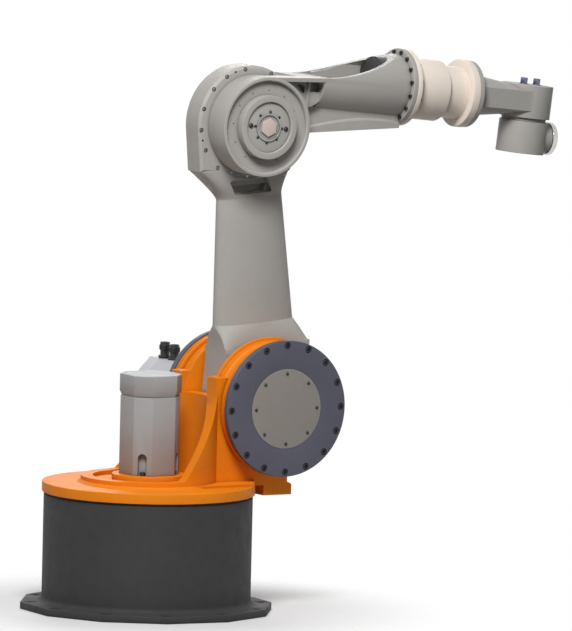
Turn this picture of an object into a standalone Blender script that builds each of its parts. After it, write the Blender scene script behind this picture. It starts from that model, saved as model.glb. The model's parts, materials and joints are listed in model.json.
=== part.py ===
# Six-axis articulated robot arm, heavy payload class.
# Metres, +Z up. The origin is the centre of the foot's underside, on axis A1.
# +X points the way the arm reaches, +Y is the side that carries the A2 motor.
import math

import bmesh
import bpy
from mathutils import Matrix

for old in list(bpy.data.objects):
    bpy.data.objects.remove(old)

# Faces round a large, a middling and a small turned form
BIG_STEPS = 40
MID_STEPS = 32
SMALL_STEPS = 16
BEARING_STEPS = 48

# Clearances
FIT = 0.0003
RUNNING = 0.0008
OVERLAP = 0.010

# Base, from the bearing seat outwards
BEARING_SEAT_RADIUS = 0.380
BEARING_SEAT_DEPTH = 0.080
BEARING_SHELF = 0.035
DRUM_WALL = 0.038
DRUM_TOP = 0.460
DRUM_FILLET = 0.024
FOOT_REACH = 0.092
FOOT_HEIGHT = 0.028
FOOT_CORNERS = 12
FOOT_TURN = 9.1
ANCHOR_INSET = 0.042
ANCHOR_BORE = 0.014
BASE_FLOOR = 0.090
SEAL_INSET = 0.006
SEAL_HEIGHT = 0.009

# A1 drive
BEARING_OUTER_WALL = 0.034
BEARING_INNER_WALL = 0.040
GEARBOX_TOP = 0.340
GEARBOX_FLANGE = 0.030
GEARBOX_RADIUS = 0.190
OUTPUT_RADIUS = 0.240
OUTPUT_FLANGE = 0.030
OUTPUT_HUB_RADIUS = 0.120
PINION_RADIUS = 0.030
PINION_BORE = 0.060
PINION_REACH = 0.290

# Carousel
DISC_OVERHANG = 0.008
DISC_THICKNESS = 0.040
BOSS_RADIUS = 0.288
BOSS_CHAMFER = 0.014
PLATFORM_RISE = 0.011
PLATFORM_INSET = 0.0018
COLUMN_RADIUS = 0.272
COLUMN_WALL = 0.048
COLUMN_RIM_RISE = 0.027
COLUMN_TOP = 0.939
COLUMN_BACK = 0.010
COLUMN_FRONT = 0.212
S_CUT_BOW = 0.9
CROSS_WALL_TOP = 0.856
EAR_INNER = 0.100
EAR_OUTER = 0.176
EAR_BACK = 0.202
EAR_FRONT = 0.540
EAR_TOE = 0.020
EAR_TOE_HEIGHT = 0.042
EAR_DROP = 0.011

# A2 axis and the gear housings in the ears
A2_X = 0.485
A2_Z = 0.812
LIP_RADIUS = 0.2736
LIP_WIDTH = 0.014
NECK_RADIUS = 0.255
NECK_END = 0.184
GROOVE_RADIUS = 0.248
GROOVE_WIDTH = 0.004
COLLAR_RADIUS = 0.268
COLLAR_END = 0.220
GEAR_BORE = 0.200
OUTPUT_BORE = 0.150
GEAR_SEAT = 0.116
GEAR_FLANGE_THICKNESS = 0.028
COVER_RADIUS = 0.160
COVER_THICKNESS = 0.009
COVER_PROUD = 0.0012
CAP_SCREWS = 16
CAP_SCREW_RING = 0.254
CAP_SCREW_BORE = 0.0135
CAP_SCREW_DEPTH = 0.012
A2_OUTPUT_RADIUS = 0.128
A2_OUTPUT_REACH = 0.160

# Servo motors
MOTOR_HALF = 0.108
MOTOR_CHAMFER = 0.055
MOTOR_CAP_FLARE = 0.003
MOTOR_CAP_TAPER = 0.019
SLOT_WIDTH = 0.037
SLOT_HEIGHT = 0.088
SLOT_DEPTH = 0.022
A1_MOTOR_FLANGE = 0.148
A1_MOTOR_FLANGE_THICKNESS = 0.025
A1_MOTOR_SPLIT = 0.860
A1_MOTOR_TOP = 0.946
A2_ADAPTER_RADIUS = 0.150
A2_ADAPTER_END = 0.270
A2_MOTOR_SPLIT = 0.660
A2_MOTOR_END = 0.727
CONNECTOR_RADIUS = 0.026
CONNECTOR_HEIGHT = 0.062
CONNECTOR_LEAN = 0.024
CONNECTOR_PITCH = 0.074
CONNECTOR_FIRST = 0.590

# Link arm, in its own frame: origin on A2, +Z along the link
LINK_LENGTH = 1.130
LINK_LEAN = 4.1
CHEEK_HALF = 0.080
CHEEK_RADIUS = 0.198
CHEEK_BACK = 0.186
CHEEK_FRONT = 0.222
CHEEK_TOP = 0.240
NECK_START = 0.328
NECK_FINISH = 0.832
NECK_BACK_LOW = 0.177
NECK_FRONT_LOW = 0.187
NECK_BACK_HIGH = 0.138
NECK_FRONT_HIGH = 0.159
NECK_HALF_LOW = 0.066
NECK_HALF_HIGH = 0.058
HOUSING_RADIUS = 0.235
HOUSING_SHIFT = 0.006
HOUSING_HALF = 0.057
HOUSING_SKIRT = 0.171
HOUSING_BACK = 0.239
HOUSING_FRONT = 0.177
HOUSING_FRONT_SKIRT = 0.206
A3_GEAR_RADIUS = 0.165
WINDOW_LENGTH = 0.160
WINDOW_HEIGHT = 0.056
WINDOW_DEPTH = 0.024
WINDOW_DROP = 0.251
A3_MOTOR_RADIUS = 0.150
A3_ADAPTER_THICKNESS = 0.025
A3_MOTOR_END = 0.250
A3_MOTOR_HALF = 0.085
A3_MOTOR_CHAMFER = 0.040

# Forearm, in its own frame: origin on A3, +X along the forearm
FOREARM_DROOP = 6.8
HUB_RADIUS = 0.200
HUB_OUTER = 0.184
HUB_RIM = 0.016
HUB_FLOOR = 0.163
A3_SHAFT_RADIUS = 0.050
A3_SHAFT_REACH = 0.090
HUB_BOSS_RADIUS = 0.128
HUB_BOSS_OUTER = 0.202
HUB_COVER_RADIUS = 0.100
HUB_COVER_OUTER = 0.192
LOCK_RING_RADIUS = 0.056
LOCK_RING_THICKNESS = 0.006
LOCK_HEX_ACROSS = 0.075
LOCK_HEX_HEIGHT = 0.008
A4_RISE = 0.206
TUBE_RADIUS = 0.130
TUBE_WALL = 0.018
TUBE_START = 0.279
TUBE_END = 0.681
SADDLE_START = 0.216
SADDLE_END_X = 0.662
SADDLE_BOW = 1.7
SHELF_THICKNESS = 0.016
RIB_OUTER = 0.076
WALL_OUTER = 0.066
WALL_TOP = 0.099
KEEL_HALF = 0.040
POCKET_RIB_START = 0.214
POCKET_RIB_THICKNESS = 0.014
POCKET_RIB_OUTER = 0.104
RIB_ARCH = 0.62
RIB_DROP_BACK = 0.009
RIB_RISE_FRONT = 0.045
FRONT_FLANGE_RADIUS = 0.154
FRONT_FLANGE_THICKNESS = 0.020
A4_GEAR_LENGTH = 0.110
A4_OUTPUT_RADIUS = 0.070
A4_OUTPUT_REACH = 0.060

# Wrist tube and fork, along A4 and measured from A3
REAR_FLANGE_THICKNESS = 0.023
WRIST_TUBE_RADIUS = 0.122
WRIST_TUBE_STEP = 0.877
WRIST_TUBE_SLIM = 0.105
WRIST_FLANGE_START = 0.976
WRIST_FLANGE_RADIUS = 0.136
WRIST_FLANGE_END = 1.010
DRIVE_TUBE_RADIUS = 0.060
DRIVE_SHAFT_RADIUS = 0.045
FORK_FLANGE_RADIUS = 0.134
FORK_FLANGE_THICKNESS = 0.020
FOREARM_LENGTH = 1.309
FORK_HEAD_RADIUS = 0.104
FORK_HEAD_TOP = 0.064
FORK_HEAD_BOTTOM = 0.069
FORK_SIDE = 0.100
FORK_SIDE_EDGE = 0.0395
FORK_TOP_ROOT = 0.085
FORK_TOP_TIP = 0.047
FORK_FOOT_ROOT = 0.089
FORK_FOOT_TIP = 0.049
WRIST_BOLT_ACROSS = 0.028
WRIST_BOLT_HEIGHT = 0.026
WRIST_BOLT_BACK = 0.020
WRIST_BOLT_FRONT = 0.040
A5_SHAFT_RADIUS = 0.045
A5_SHAFT_REACH = 0.080
A5_RING_RADIUS = 0.090
A5_RING_HEIGHT = 0.013

# Wrist block and tool flange
BLOCK_RADIUS = 0.097
BLOCK_HEIGHT = 0.130
A6_DROP = 0.146
A6_BOSS_RADIUS = 0.060
A6_BOSS_END = 0.112
TOOL_FLANGE_RADIUS = 0.066
TOOL_FLANGE_END = 0.133
A6_SHAFT_RADIUS = 0.030
A6_SHAFT_REACH = 0.080

# Seats that follow from the sizes above
BASE_BORE = BEARING_SEAT_RADIUS - BEARING_SHELF
DRUM_RADIUS = BEARING_SEAT_RADIUS + DRUM_WALL
FOOT_RADIUS = DRUM_RADIUS + FOOT_REACH
ANCHOR_RING = FOOT_RADIUS - ANCHOR_INSET
DISC_RADIUS = DRUM_RADIUS + DISC_OVERHANG
RACE_RADIUS = BEARING_SEAT_RADIUS - BEARING_OUTER_WALL
DISC_BOTTOM = DRUM_TOP + SEAL_HEIGHT
DISC_TOP = DISC_BOTTOM + DISC_THICKNESS
PLATFORM_TOP = DISC_TOP + PLATFORM_RISE
BEARING_FLOOR = DRUM_TOP - BEARING_SEAT_DEPTH
GEAR_FLANGE_END = COLLAR_END + GEAR_FLANGE_THICKNESS
HUB_INNER = HOUSING_HALF + RUNNING
FRONT_FLANGE_END = TUBE_END + FRONT_FLANGE_THICKNESS
REAR_FLANGE_START = FRONT_FLANGE_END + RUNNING
REAR_FLANGE_END = REAR_FLANGE_START + REAR_FLANGE_THICKNESS
FORK_FLANGE_END = WRIST_FLANGE_END + FORK_FLANGE_THICKNESS
A5_RING_TOP = -FORK_HEAD_BOTTOM - RUNNING
BLOCK_TOP = A5_RING_TOP - A5_RING_HEIGHT

robot = bpy.data.collections.new("six_axis_robot_arm")
cutters = bpy.data.collections.new("cutters")
bpy.context.scene.collection.children.link(robot)
bpy.context.scene.collection.children.link(cutters)
cutters.hide_render = True


def material(name, colour, roughness, metallic):
    made = bpy.data.materials.new(name)
    made.use_nodes = True
    shader = made.node_tree.nodes["Principled BSDF"]
    shader.inputs["Base Color"].default_value = (*colour, 1)
    shader.inputs["Roughness"].default_value = roughness
    shader.inputs["Metallic"].default_value = metallic
    return made


BASE_GREY = material("base_grey_paint", (0.045, 0.045, 0.05), 0.5, 0.0)
ORANGE = material("orange_paint", (1.0, 0.26, 0.0), 0.45, 0.0)
SLATE = material("slate_paint", (0.09, 0.09, 0.12), 0.5, 0.0)
CASTING = material("warm_grey_paint", (0.33, 0.315, 0.30), 0.5, 0.0)
COVER = material("cover_plate", (0.23, 0.21, 0.19), 0.5, 0.2)
CREAM = material("cream_paint", (0.87, 0.78, 0.70), 0.5, 0.0)
LOCK_PAINT = material("pale_pink_paint", (0.70, 0.57, 0.52), 0.5, 0.0)
MOTOR_GREY = material("motor_grey_paint", (0.33, 0.33, 0.34), 0.5, 0.0)
MOTOR_LIGHT = material("motor_light_paint", (0.68, 0.68, 0.71), 0.5, 0.0)
CONNECTOR = material("connector_plastic", (0.015, 0.015, 0.017), 0.45, 0.0)
STEEL = material("machined_steel", (0.5, 0.5, 0.5), 0.3, 1.0)
SEAL = material("seal_rubber", (0.02, 0.02, 0.02), 0.8, 0.0)


def pivot(name, parent, location, turn=0.0):
    empty = bpy.data.objects.new(name, None)
    robot.objects.link(empty)
    empty.parent = parent
    empty.location = location
    empty.rotation_euler = (0, math.radians(turn), 0)
    return empty


# One empty on each joint axis, each carried by the one before
A1 = pivot("a1_axis", None, (0, 0, 0))
A2 = pivot("a2_axis", A1, (A2_X, 0, A2_Z), -LINK_LEAN)
A3 = pivot("a3_axis", A2, (0, 0, LINK_LENGTH), LINK_LEAN + FOREARM_DROOP)
A4 = pivot("a4_axis", A3, (0, 0, A4_RISE))
A5 = pivot("a5_axis", A4, (FOREARM_LENGTH, 0, 0))
A6 = pivot("a6_axis", A5, (0, 0, -A6_DROP))

# Where local +Z points once a piece is laid along a direction
ALONG = {
    "z": (0, 0, 0),
    "x": (0, math.pi / 2, 0),
    "near": (math.pi / 2, 0, 0),
    "far": (-math.pi / 2, 0, 0),
}


def add(name, mesh, finish, parent, along, at, collection):
    piece = bpy.data.objects.new(name, mesh)
    collection.objects.link(piece)
    if finish:
        mesh.materials.append(finish)
    if collection is cutters:
        piece.hide_render = True
        piece.display_type = "WIRE"
    piece.parent = parent
    piece.location = at
    piece.rotation_euler = ALONG[along]
    return piece


def turned(name, profile, steps, finish=None, parent=None, along="z", at=(0, 0, 0)):
    """A profile of (radius, height) points turned about local Z."""
    form = bmesh.new()
    points = [form.verts.new((radius, 0, height)) for radius, height in profile]
    for first, second in zip(points, points[1:]):
        form.edges.new((first, second))
    if profile[0][0] > 0:
        form.edges.new((points[-1], points[0]))
    mesh = bpy.data.meshes.new(name)
    form.to_mesh(mesh)
    form.free()
    piece = add(name, mesh, finish, parent, along, at, robot if finish else cutters)
    screw = piece.modifiers.new("turn", "SCREW")
    screw.steps = screw.render_steps = steps
    screw.use_merge_vertices = True
    screw.merge_threshold = 0.00005
    return piece


def ring(name, outer, inner, low, high, steps, finish=None, **seat):
    """A plain turned ring, or a disc where the inner radius is 0."""
    profile = [(inner, high), (outer, high), (outer, low), (inner, low)]
    return turned(name, profile, steps, finish, **seat)


def plate(name, outline, low, high, finish=None, parent=None, along="z", at=(0, 0, 0)):
    """A flat outline given thickness between two heights along local Z."""
    curve = bpy.data.curves.new(name, "CURVE")
    curve.dimensions = "2D"
    curve.fill_mode = "BOTH"
    curve.extrude = (high - low) / 2
    spline = curve.splines.new("POLY")
    spline.points.add(len(outline) - 1)
    for point, (x, y) in zip(spline.points, outline):
        point.co = (x, y, 0, 1)
    spline.use_cyclic_u = True
    drawn = bpy.data.objects.new(name, curve)
    bpy.context.scene.collection.objects.link(drawn)
    graph = bpy.context.evaluated_depsgraph_get()
    mesh = bpy.data.meshes.new_from_object(drawn.evaluated_get(graph))
    bpy.data.objects.remove(drawn)
    form = bmesh.new()
    form.from_mesh(mesh)
    bmesh.ops.remove_doubles(form, verts=form.verts, dist=0.00001)
    edges = form.edges[:]
    bmesh.ops.dissolve_limit(form, angle_limit=0.001, verts=form.verts, edges=edges)
    bmesh.ops.translate(form, verts=form.verts, vec=(0, 0, (high + low) / 2))
    bmesh.ops.recalc_face_normals(form, faces=form.faces)
    form.to_mesh(mesh)
    form.free()
    mesh.name = name
    return add(name, mesh, finish, parent, along, at, robot if finish else cutters)


def side_plate(name, outline, half, finish=None, parent=None, middle=0.0):
    """An outline drawn in the XZ plane, as thick as twice half along Y."""
    piece = plate(name, outline, -half, half, finish, parent, "near", (0, middle, 0))
    return piece


def loft(name, sections, finish=None, parent=None, along="z", at=(0, 0, 0), twisted=False):
    """A skin over closed sections of equally many points, with flat ends."""
    form = bmesh.new()
    rows = [[form.verts.new(point) for point in section] for section in sections]
    count = len(rows[0])
    for low, high in zip(rows, rows[1:]):
        for i in range(count):
            j = (i + 1) % count
            form.faces.new((low[i], low[j], high[j], high[i]))
    if twisted:
        bmesh.ops.triangulate(form, faces=form.faces)
    form.faces.new(rows[0])
    form.faces.new(rows[-1])
    bmesh.ops.recalc_face_normals(form, faces=form.faces)
    mesh = bpy.data.meshes.new(name)
    form.to_mesh(mesh)
    form.free()
    return add(name, mesh, finish, parent, along, at, robot if finish else cutters)


def rods(name, count, circle, radius, low, high, first=0.0, segments=8, **seat):
    """A ring of equal round rods, drilled or joined as one."""
    form = bmesh.new()
    for i in range(count):
        angle = math.radians(first + 360 * i / count)
        made = bmesh.ops.create_cone(
            form,
            cap_ends=True,
            segments=segments,
            radius1=radius,
            radius2=radius,
            depth=high - low,
        )
        spot = (circle * math.cos(angle), circle * math.sin(angle), (low + high) / 2)
        bmesh.ops.translate(form, verts=made["verts"], vec=spot)
    mesh = bpy.data.meshes.new(name)
    form.to_mesh(mesh)
    form.free()
    seat = {"parent": None, "along": "z", "at": (0, 0, 0), **seat}
    return add(name, mesh, None, seat["parent"], seat["along"], seat["at"], cutters)


def boolean(piece, other, operation):
    step = piece.modifiers.new(other.name, "BOOLEAN")
    step.operation = operation
    step.object = other
    step.solver = "EXACT"


def cut(piece, *others):
    for other in others:
        boolean(piece, other, "DIFFERENCE")


def join(piece, *others):
    for other in others:
        boolean(piece, other, "UNION")


def arc(centre_x, centre_y, radius, start, end, steps):
    """Points along a circle, from one angle to another in degrees."""
    found = []
    for i in range(steps + 1):
        angle = math.radians(start + (end - start) * i / steps)
        x = centre_x + radius * math.cos(angle)
        found.append((x, centre_y + radius * math.sin(angle)))
    return found


def octagon(half, chamfer):
    """A square with its four corners cut off."""
    flat = half - chamfer
    return [
        (half, -flat),
        (half, flat),
        (flat, half),
        (-flat, half),
        (-half, flat),
        (-half, -flat),
        (-flat, -half),
        (flat, -half),
    ]


# Base: a twelve-sided foot, a drum and the pit for the A1 gearbox
base = turned(
    "base_casting",
    [
        (0, BASE_FLOOR),
        (BASE_BORE, BASE_FLOOR),
        (BASE_BORE, BEARING_FLOOR),
        (BEARING_SEAT_RADIUS, BEARING_FLOOR),
        (BEARING_SEAT_RADIUS, DRUM_TOP),
        (DRUM_RADIUS, DRUM_TOP),
        *[
            (DRUM_RADIUS + DRUM_FILLET * (1 - math.sin(a)), FOOT_HEIGHT + DRUM_FILLET * (1 - math.cos(a)))
            for a in (math.pi / 2, math.pi / 4, math.pi / 8, 0)
        ],
        (DRUM_RADIUS + DRUM_FILLET, FOOT_HEIGHT / 2),
        (0, FOOT_HEIGHT / 2),
    ],
    BIG_STEPS,
    BASE_GREY,
    A1,
)
foot = ring("foot", FOOT_RADIUS, 0, 0, FOOT_HEIGHT, FOOT_CORNERS, parent=A1)
foot.rotation_euler.z = math.radians(FOOT_TURN)
anchors = rods(
    "anchor_holes", FOOT_CORNERS, ANCHOR_RING, ANCHOR_BORE, -OVERLAP, FOOT_HEIGHT + OVERLAP,
    FOOT_TURN, parent=A1,
)
join(base, foot)
cut(base, anchors)
ring(
    "base_seal_ring", DRUM_RADIUS - SEAL_INSET, BEARING_SEAT_RADIUS + SEAL_INSET,
    DRUM_TOP + FIT, DISC_BOTTOM - FIT,
    BIG_STEPS, SEAL, parent=A1,
)

# A1 bearing and gearbox, sunk in the base and turning the carousel
ring(
    "a1_bearing_outer_ring", BEARING_SEAT_RADIUS * math.cos(math.pi / BIG_STEPS) - FIT,
    RACE_RADIUS, BEARING_FLOOR + FIT, DRUM_TOP, BEARING_STEPS, STEEL, parent=A1,
)
ring(
    "a1_bearing_inner_ring", RACE_RADIUS * math.cos(math.pi / BEARING_STEPS) - RUNNING / 2,
    RACE_RADIUS - BEARING_INNER_WALL, BEARING_FLOOR + RUNNING, DISC_BOTTOM - FIT,
    BEARING_STEPS, STEEL, parent=A1,
)
turned(
    "a1_gearbox",
    [
        (0, GEARBOX_TOP - PINION_REACH / 2),
        (PINION_BORE, GEARBOX_TOP - PINION_REACH / 2),
        (PINION_BORE, GEARBOX_TOP),
        (BASE_BORE - FIT, GEARBOX_TOP),
        (BASE_BORE - FIT, GEARBOX_TOP - GEARBOX_FLANGE),
        (GEARBOX_RADIUS, GEARBOX_TOP - GEARBOX_FLANGE),
        (GEARBOX_RADIUS, BASE_FLOOR + FIT),
        (0, BASE_FLOOR + FIT),
    ],
    BIG_STEPS,
    STEEL,
    A1,
)
turned(
    "a1_output_flange",
    [
        (PINION_BORE, DISC_BOTTOM - FIT),
        (OUTPUT_RADIUS, DISC_BOTTOM - FIT),
        (OUTPUT_RADIUS, DISC_BOTTOM - OUTPUT_FLANGE),
        (OUTPUT_HUB_RADIUS, DISC_BOTTOM - OUTPUT_FLANGE),
        (OUTPUT_HUB_RADIUS, GEARBOX_TOP + RUNNING),
        (PINION_BORE, GEARBOX_TOP + RUNNING),
    ],
    MID_STEPS,
    STEEL,
    A1,
)

# Carousel casting: disc, boss, the S-cut column round the motor, and two ears
carousel = turned(
    "carousel_casting",
    [
        (0, PLATFORM_TOP),
        (BOSS_RADIUS - BOSS_CHAMFER, PLATFORM_TOP),
        (BOSS_RADIUS, DISC_TOP),
        (DISC_RADIUS, DISC_TOP),
        (DISC_RADIUS, DISC_BOTTOM),
        (0, DISC_BOTTOM),
    ],
    BIG_STEPS,
    ORANGE,
    A1,
)
column = ring(
    "column", COLUMN_RADIUS, COLUMN_RADIUS - COLUMN_WALL, DISC_TOP - OVERLAP, COLUMN_TOP,
    BIG_STEPS, parent=A1,
)
column.rotation_euler.z = math.pi / BIG_STEPS
rim = PLATFORM_TOP + COLUMN_RIM_RISE - PLATFORM_RISE
sweep = [
    (
        COLUMN_BACK + (COLUMN_FRONT - COLUMN_BACK) * math.sin(math.pi / 2 * step / 12),
        rim + (COLUMN_TOP - rim) * (step / 12) ** S_CUT_BOW,
    )
    for step in range(13)
]
s_cut = side_plate(
    "s_cut",
    [
        (-COLUMN_RADIUS - OVERLAP, rim),
        (COLUMN_BACK - 4 * OVERLAP, rim),
        (COLUMN_BACK - 0.7 * OVERLAP, rim + OVERLAP / 4),
        *sweep[1:],
        (COLUMN_FRONT, COLUMN_TOP + OVERLAP),
        (-COLUMN_RADIUS - OVERLAP, COLUMN_TOP + OVERLAP),
    ],
    COLUMN_RADIUS + OVERLAP,
    parent=A1,
)
gate_half = EAR_INNER + RUNNING
gate = plate(
    "cross_wall_gate",
    [
        (COLUMN_BACK, -gate_half),
        (COLUMN_RADIUS + OVERLAP, -gate_half),
        (COLUMN_RADIUS + OVERLAP, gate_half),
        (COLUMN_BACK, gate_half),
    ],
    CROSS_WALL_TOP,
    COLUMN_TOP + OVERLAP,
    parent=A1,
)
cut(column, s_cut, gate)
platform_half = COLUMN_RADIUS
platform_reach = DISC_RADIUS - PLATFORM_INSET
platform_angle = math.degrees(math.asin(platform_half / platform_reach))
platform = plate(
    "platform",
    [
        (COLUMN_BACK, platform_half),
        (COLUMN_BACK, -platform_half),
        *arc(0, 0, platform_reach, -platform_angle, platform_angle, 12),
    ],
    DISC_TOP - OVERLAP,
    PLATFORM_TOP - FIT,
    parent=A1,
)
pinion_hole = ring(
    "pinion_hole", PINION_BORE, 0, DISC_BOTTOM - OVERLAP, PLATFORM_TOP + OVERLAP, SMALL_STEPS, parent=A1
)
join(carousel, column, platform)
cut(carousel, pinion_hole)
ear_top = COLUMN_TOP - OVERLAP / 5
ear_outline = [
    (EAR_BACK, DISC_TOP - OVERLAP),
    (DISC_RADIUS + OVERLAP / 2, DISC_TOP - OVERLAP),
    (DISC_RADIUS + OVERLAP / 2, DISC_BOTTOM - EAR_DROP),
    (EAR_FRONT + EAR_TOE, DISC_BOTTOM - EAR_DROP),
    (EAR_FRONT + EAR_TOE, DISC_BOTTOM - EAR_DROP + EAR_TOE_HEIGHT),
    (EAR_FRONT, DISC_BOTTOM - EAR_DROP + EAR_TOE_HEIGHT + OVERLAP),
    (EAR_FRONT, A2_Z),
    (A2_X, A2_Z + NECK_RADIUS / 2),
    (A2_X - NECK_RADIUS * 0.7, A2_Z + NECK_RADIUS * 0.6),
    (A2_X - math.sqrt(NECK_RADIUS**2 - (ear_top - A2_Z) ** 2) + OVERLAP, ear_top),
    (EAR_BACK, ear_top),
]
housing_profile = [
    (0, COLLAR_END - FIT),
    (COLLAR_RADIUS, COLLAR_END - FIT),
    (COLLAR_RADIUS, NECK_END + GROOVE_WIDTH),
    (GROOVE_RADIUS, NECK_END + GROOVE_WIDTH),
    (GROOVE_RADIUS, NECK_END),
    (NECK_RADIUS, NECK_END),
    (NECK_RADIUS, EAR_INNER + LIP_WIDTH),
    (LIP_RADIUS, EAR_INNER + LIP_WIDTH),
    (LIP_RADIUS, EAR_INNER),
    (0, EAR_INNER),
]
bore_profile = [
    (0, COLLAR_END + OVERLAP),
    (GEAR_BORE, COLLAR_END + OVERLAP),
    (GEAR_BORE, GEAR_SEAT),
    (OUTPUT_BORE, GEAR_SEAT),
    (OUTPUT_BORE, EAR_INNER - OVERLAP),
    (0, EAR_INNER - OVERLAP),
]
ear_middle = (EAR_INNER + EAR_OUTER) / 2
ear_half = (EAR_OUTER - EAR_INNER) / 2
for side, sign in (("near", -1), ("far", 1)):
    centre = (A2_X, 0, A2_Z)
    ear = side_plate(
        f"ear_{side}", ear_outline, ear_half - FIT, parent=A1, middle=sign * ear_middle
    )
    housing = turned(f"ear_housing_{side}", housing_profile, MID_STEPS, None, A1, side, centre)
    bore = turned(f"ear_bore_{side}", bore_profile, MID_STEPS, None, A1, side, centre)
    join(ear, housing)
    cut(ear, bore)
    join(carousel, ear)

    # A2 gearbox in this ear, with the flange that closes it
    turned(
        f"a2_gearbox_{side}",
        [
            (0, COLLAR_END - FIT),
            (GEAR_BORE - FIT, COLLAR_END - FIT),
            (GEAR_BORE - FIT, GEAR_SEAT + FIT),
            (A2_OUTPUT_RADIUS + RUNNING, GEAR_SEAT + FIT),
            (A2_OUTPUT_RADIUS + RUNNING, A2_OUTPUT_REACH + RUNNING),
            (0, A2_OUTPUT_REACH + RUNNING),
        ],
        MID_STEPS,
        STEEL,
        A1,
        side,
        centre,
    )
    recess = COVER_THICKNESS - COVER_PROUD
    gear_flange = turned(
        f"a2_gear_flange_{side}",
        [
            (0, GEAR_FLANGE_END - recess),
            (COVER_RADIUS + FIT, GEAR_FLANGE_END - recess),
            (COVER_RADIUS + FIT, GEAR_FLANGE_END),
            (LIP_RADIUS, GEAR_FLANGE_END),
            (LIP_RADIUS, COLLAR_END + FIT),
            (0, COLLAR_END + FIT),
        ],
        BIG_STEPS,
        SLATE,
        A1,
        side,
        centre,
    )
    screw_holes = rods(
        f"cap_screw_holes_{side}", CAP_SCREWS, CAP_SCREW_RING, CAP_SCREW_BORE,
        GEAR_FLANGE_END - CAP_SCREW_DEPTH, GEAR_FLANGE_END + OVERLAP,
        90, parent=A1, along=side, at=centre,
    )
    cut(gear_flange, screw_holes)
    ring(
        f"a2_output_flange_{side}", A2_OUTPUT_RADIUS, 0, CHEEK_HALF + FIT, A2_OUTPUT_REACH,
        MID_STEPS, STEEL, parent=A2, along=side,
    )
ring(
    "a2_cover_plate", COVER_RADIUS, 0, GEAR_FLANGE_END - recess + FIT,
    GEAR_FLANGE_END - recess + COVER_THICKNESS, BIG_STEPS, COVER, parent=A1, along="near", at=centre,
)


def motor(name, finish, low, split, high, half, chamfer, parent, along, at):
    """An eight-sided servo motor: a body with four bolt slots, and a cap."""
    body = plate(f"{name}_body", octagon(half, chamfer), low, split - FIT, finish, parent, along, at)
    corner = math.sqrt(2) * (half - chamfer / 2)
    for i in range(4):
        slot = slot_cutter(f"{name}_slot_{i}", parent, along, at, low, corner, 45 + 90 * i)
        cut(body, slot)
    flare = MOTOR_CAP_FLARE
    loft(
        f"{name}_cap",
        [
            [(x, y, split) for x, y in octagon(half - flare, chamfer - flare)],
            [(x, y, split + MOTOR_CAP_TAPER) for x, y in octagon(half + flare, chamfer - flare)],
            [(x, y, high) for x, y in octagon(half + flare, chamfer - flare)],
        ],
        finish,
        parent,
        along,
        at,
    )
    return body


def slot_cutter(name, parent, along, at, low, corner, turn):
    """The arched space that lets a spanner reach a motor's mounting bolt."""
    rise = SLOT_HEIGHT - SLOT_WIDTH / 2
    half = SLOT_WIDTH / 2
    outline = [
        (-half, -OVERLAP),
        (half, -OVERLAP),
        *[(x, y) for x, y in arc(0, rise, half, 0, 180, 8)],
    ]
    slot = plate(name, outline, corner - SLOT_DEPTH, corner + OVERLAP, parent=parent)
    upright = Matrix.Rotation(math.pi / 2, 4, "X")
    facing = Matrix.Rotation(math.radians(turn + 90), 4, "Z")
    slot.data.transform(Matrix.Translation((0, 0, low)) @ facing @ upright)
    slot.location = at
    slot.rotation_euler = ALONG[along]
    return slot


# A1 motor, standing in the column on its flange
ring(
    "a1_motor_flange", A1_MOTOR_FLANGE, 0, PLATFORM_TOP + FIT,
    PLATFORM_TOP + A1_MOTOR_FLANGE_THICKNESS, MID_STEPS, MOTOR_GREY, parent=A1,
)
motor(
    "a1_motor", MOTOR_GREY, PLATFORM_TOP + A1_MOTOR_FLANGE_THICKNESS + FIT, A1_MOTOR_SPLIT,
    A1_MOTOR_TOP, MOTOR_HALF, MOTOR_CHAMFER, A1, "z", (0, 0, 0),
)
ring(
    "a1_pinion_shaft", PINION_RADIUS, 0, PLATFORM_TOP - PINION_REACH, PLATFORM_TOP,
    SMALL_STEPS, STEEL, parent=A1,
)

# A2 motor, on the far gear flange
ring(
    "a2_motor_adapter", A2_ADAPTER_RADIUS, 0, GEAR_FLANGE_END - recess + FIT, A2_ADAPTER_END,
    MID_STEPS, MOTOR_LIGHT, parent=A1, along="far", at=centre,
)
motor(
    "a2_motor", MOTOR_LIGHT, A2_ADAPTER_END + FIT, A2_MOTOR_SPLIT, A2_MOTOR_END,
    MOTOR_HALF, MOTOR_CHAMFER, A1, "far", centre,
)
for step, use in enumerate(("power", "signal")):
    spot = (A2_X - CONNECTOR_LEAN, CONNECTOR_FIRST + CONNECTOR_PITCH * step, A2_Z)
    low = MOTOR_HALF + (MOTOR_CAP_FLARE if step else 0) + FIT
    turned(
        f"a2_{use}_connector",
        [
            (0, low + CONNECTOR_HEIGHT),
            (CONNECTOR_RADIUS * 0.75, low + CONNECTOR_HEIGHT),
            (CONNECTOR_RADIUS * 0.85, low + CONNECTOR_HEIGHT * 0.55),
            (CONNECTOR_RADIUS, low + CONNECTOR_HEIGHT * 0.45),
            (CONNECTOR_RADIUS, low),
            (0, low),
        ],
        SMALL_STEPS,
        CONNECTOR,
        A1,
        "z",
        spot,
    )

# Link arm: cheeks round A2, an oval neck, and the D-shaped housing of A3
link = side_plate(
    "link_arm",
    [
        *arc(0, 0, CHEEK_RADIUS, 180, 360, 20),
        (CHEEK_FRONT, CHEEK_TOP),
        (-CHEEK_BACK, CHEEK_TOP),
    ],
    CHEEK_HALF,
    CASTING,
    A2,
)


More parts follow.
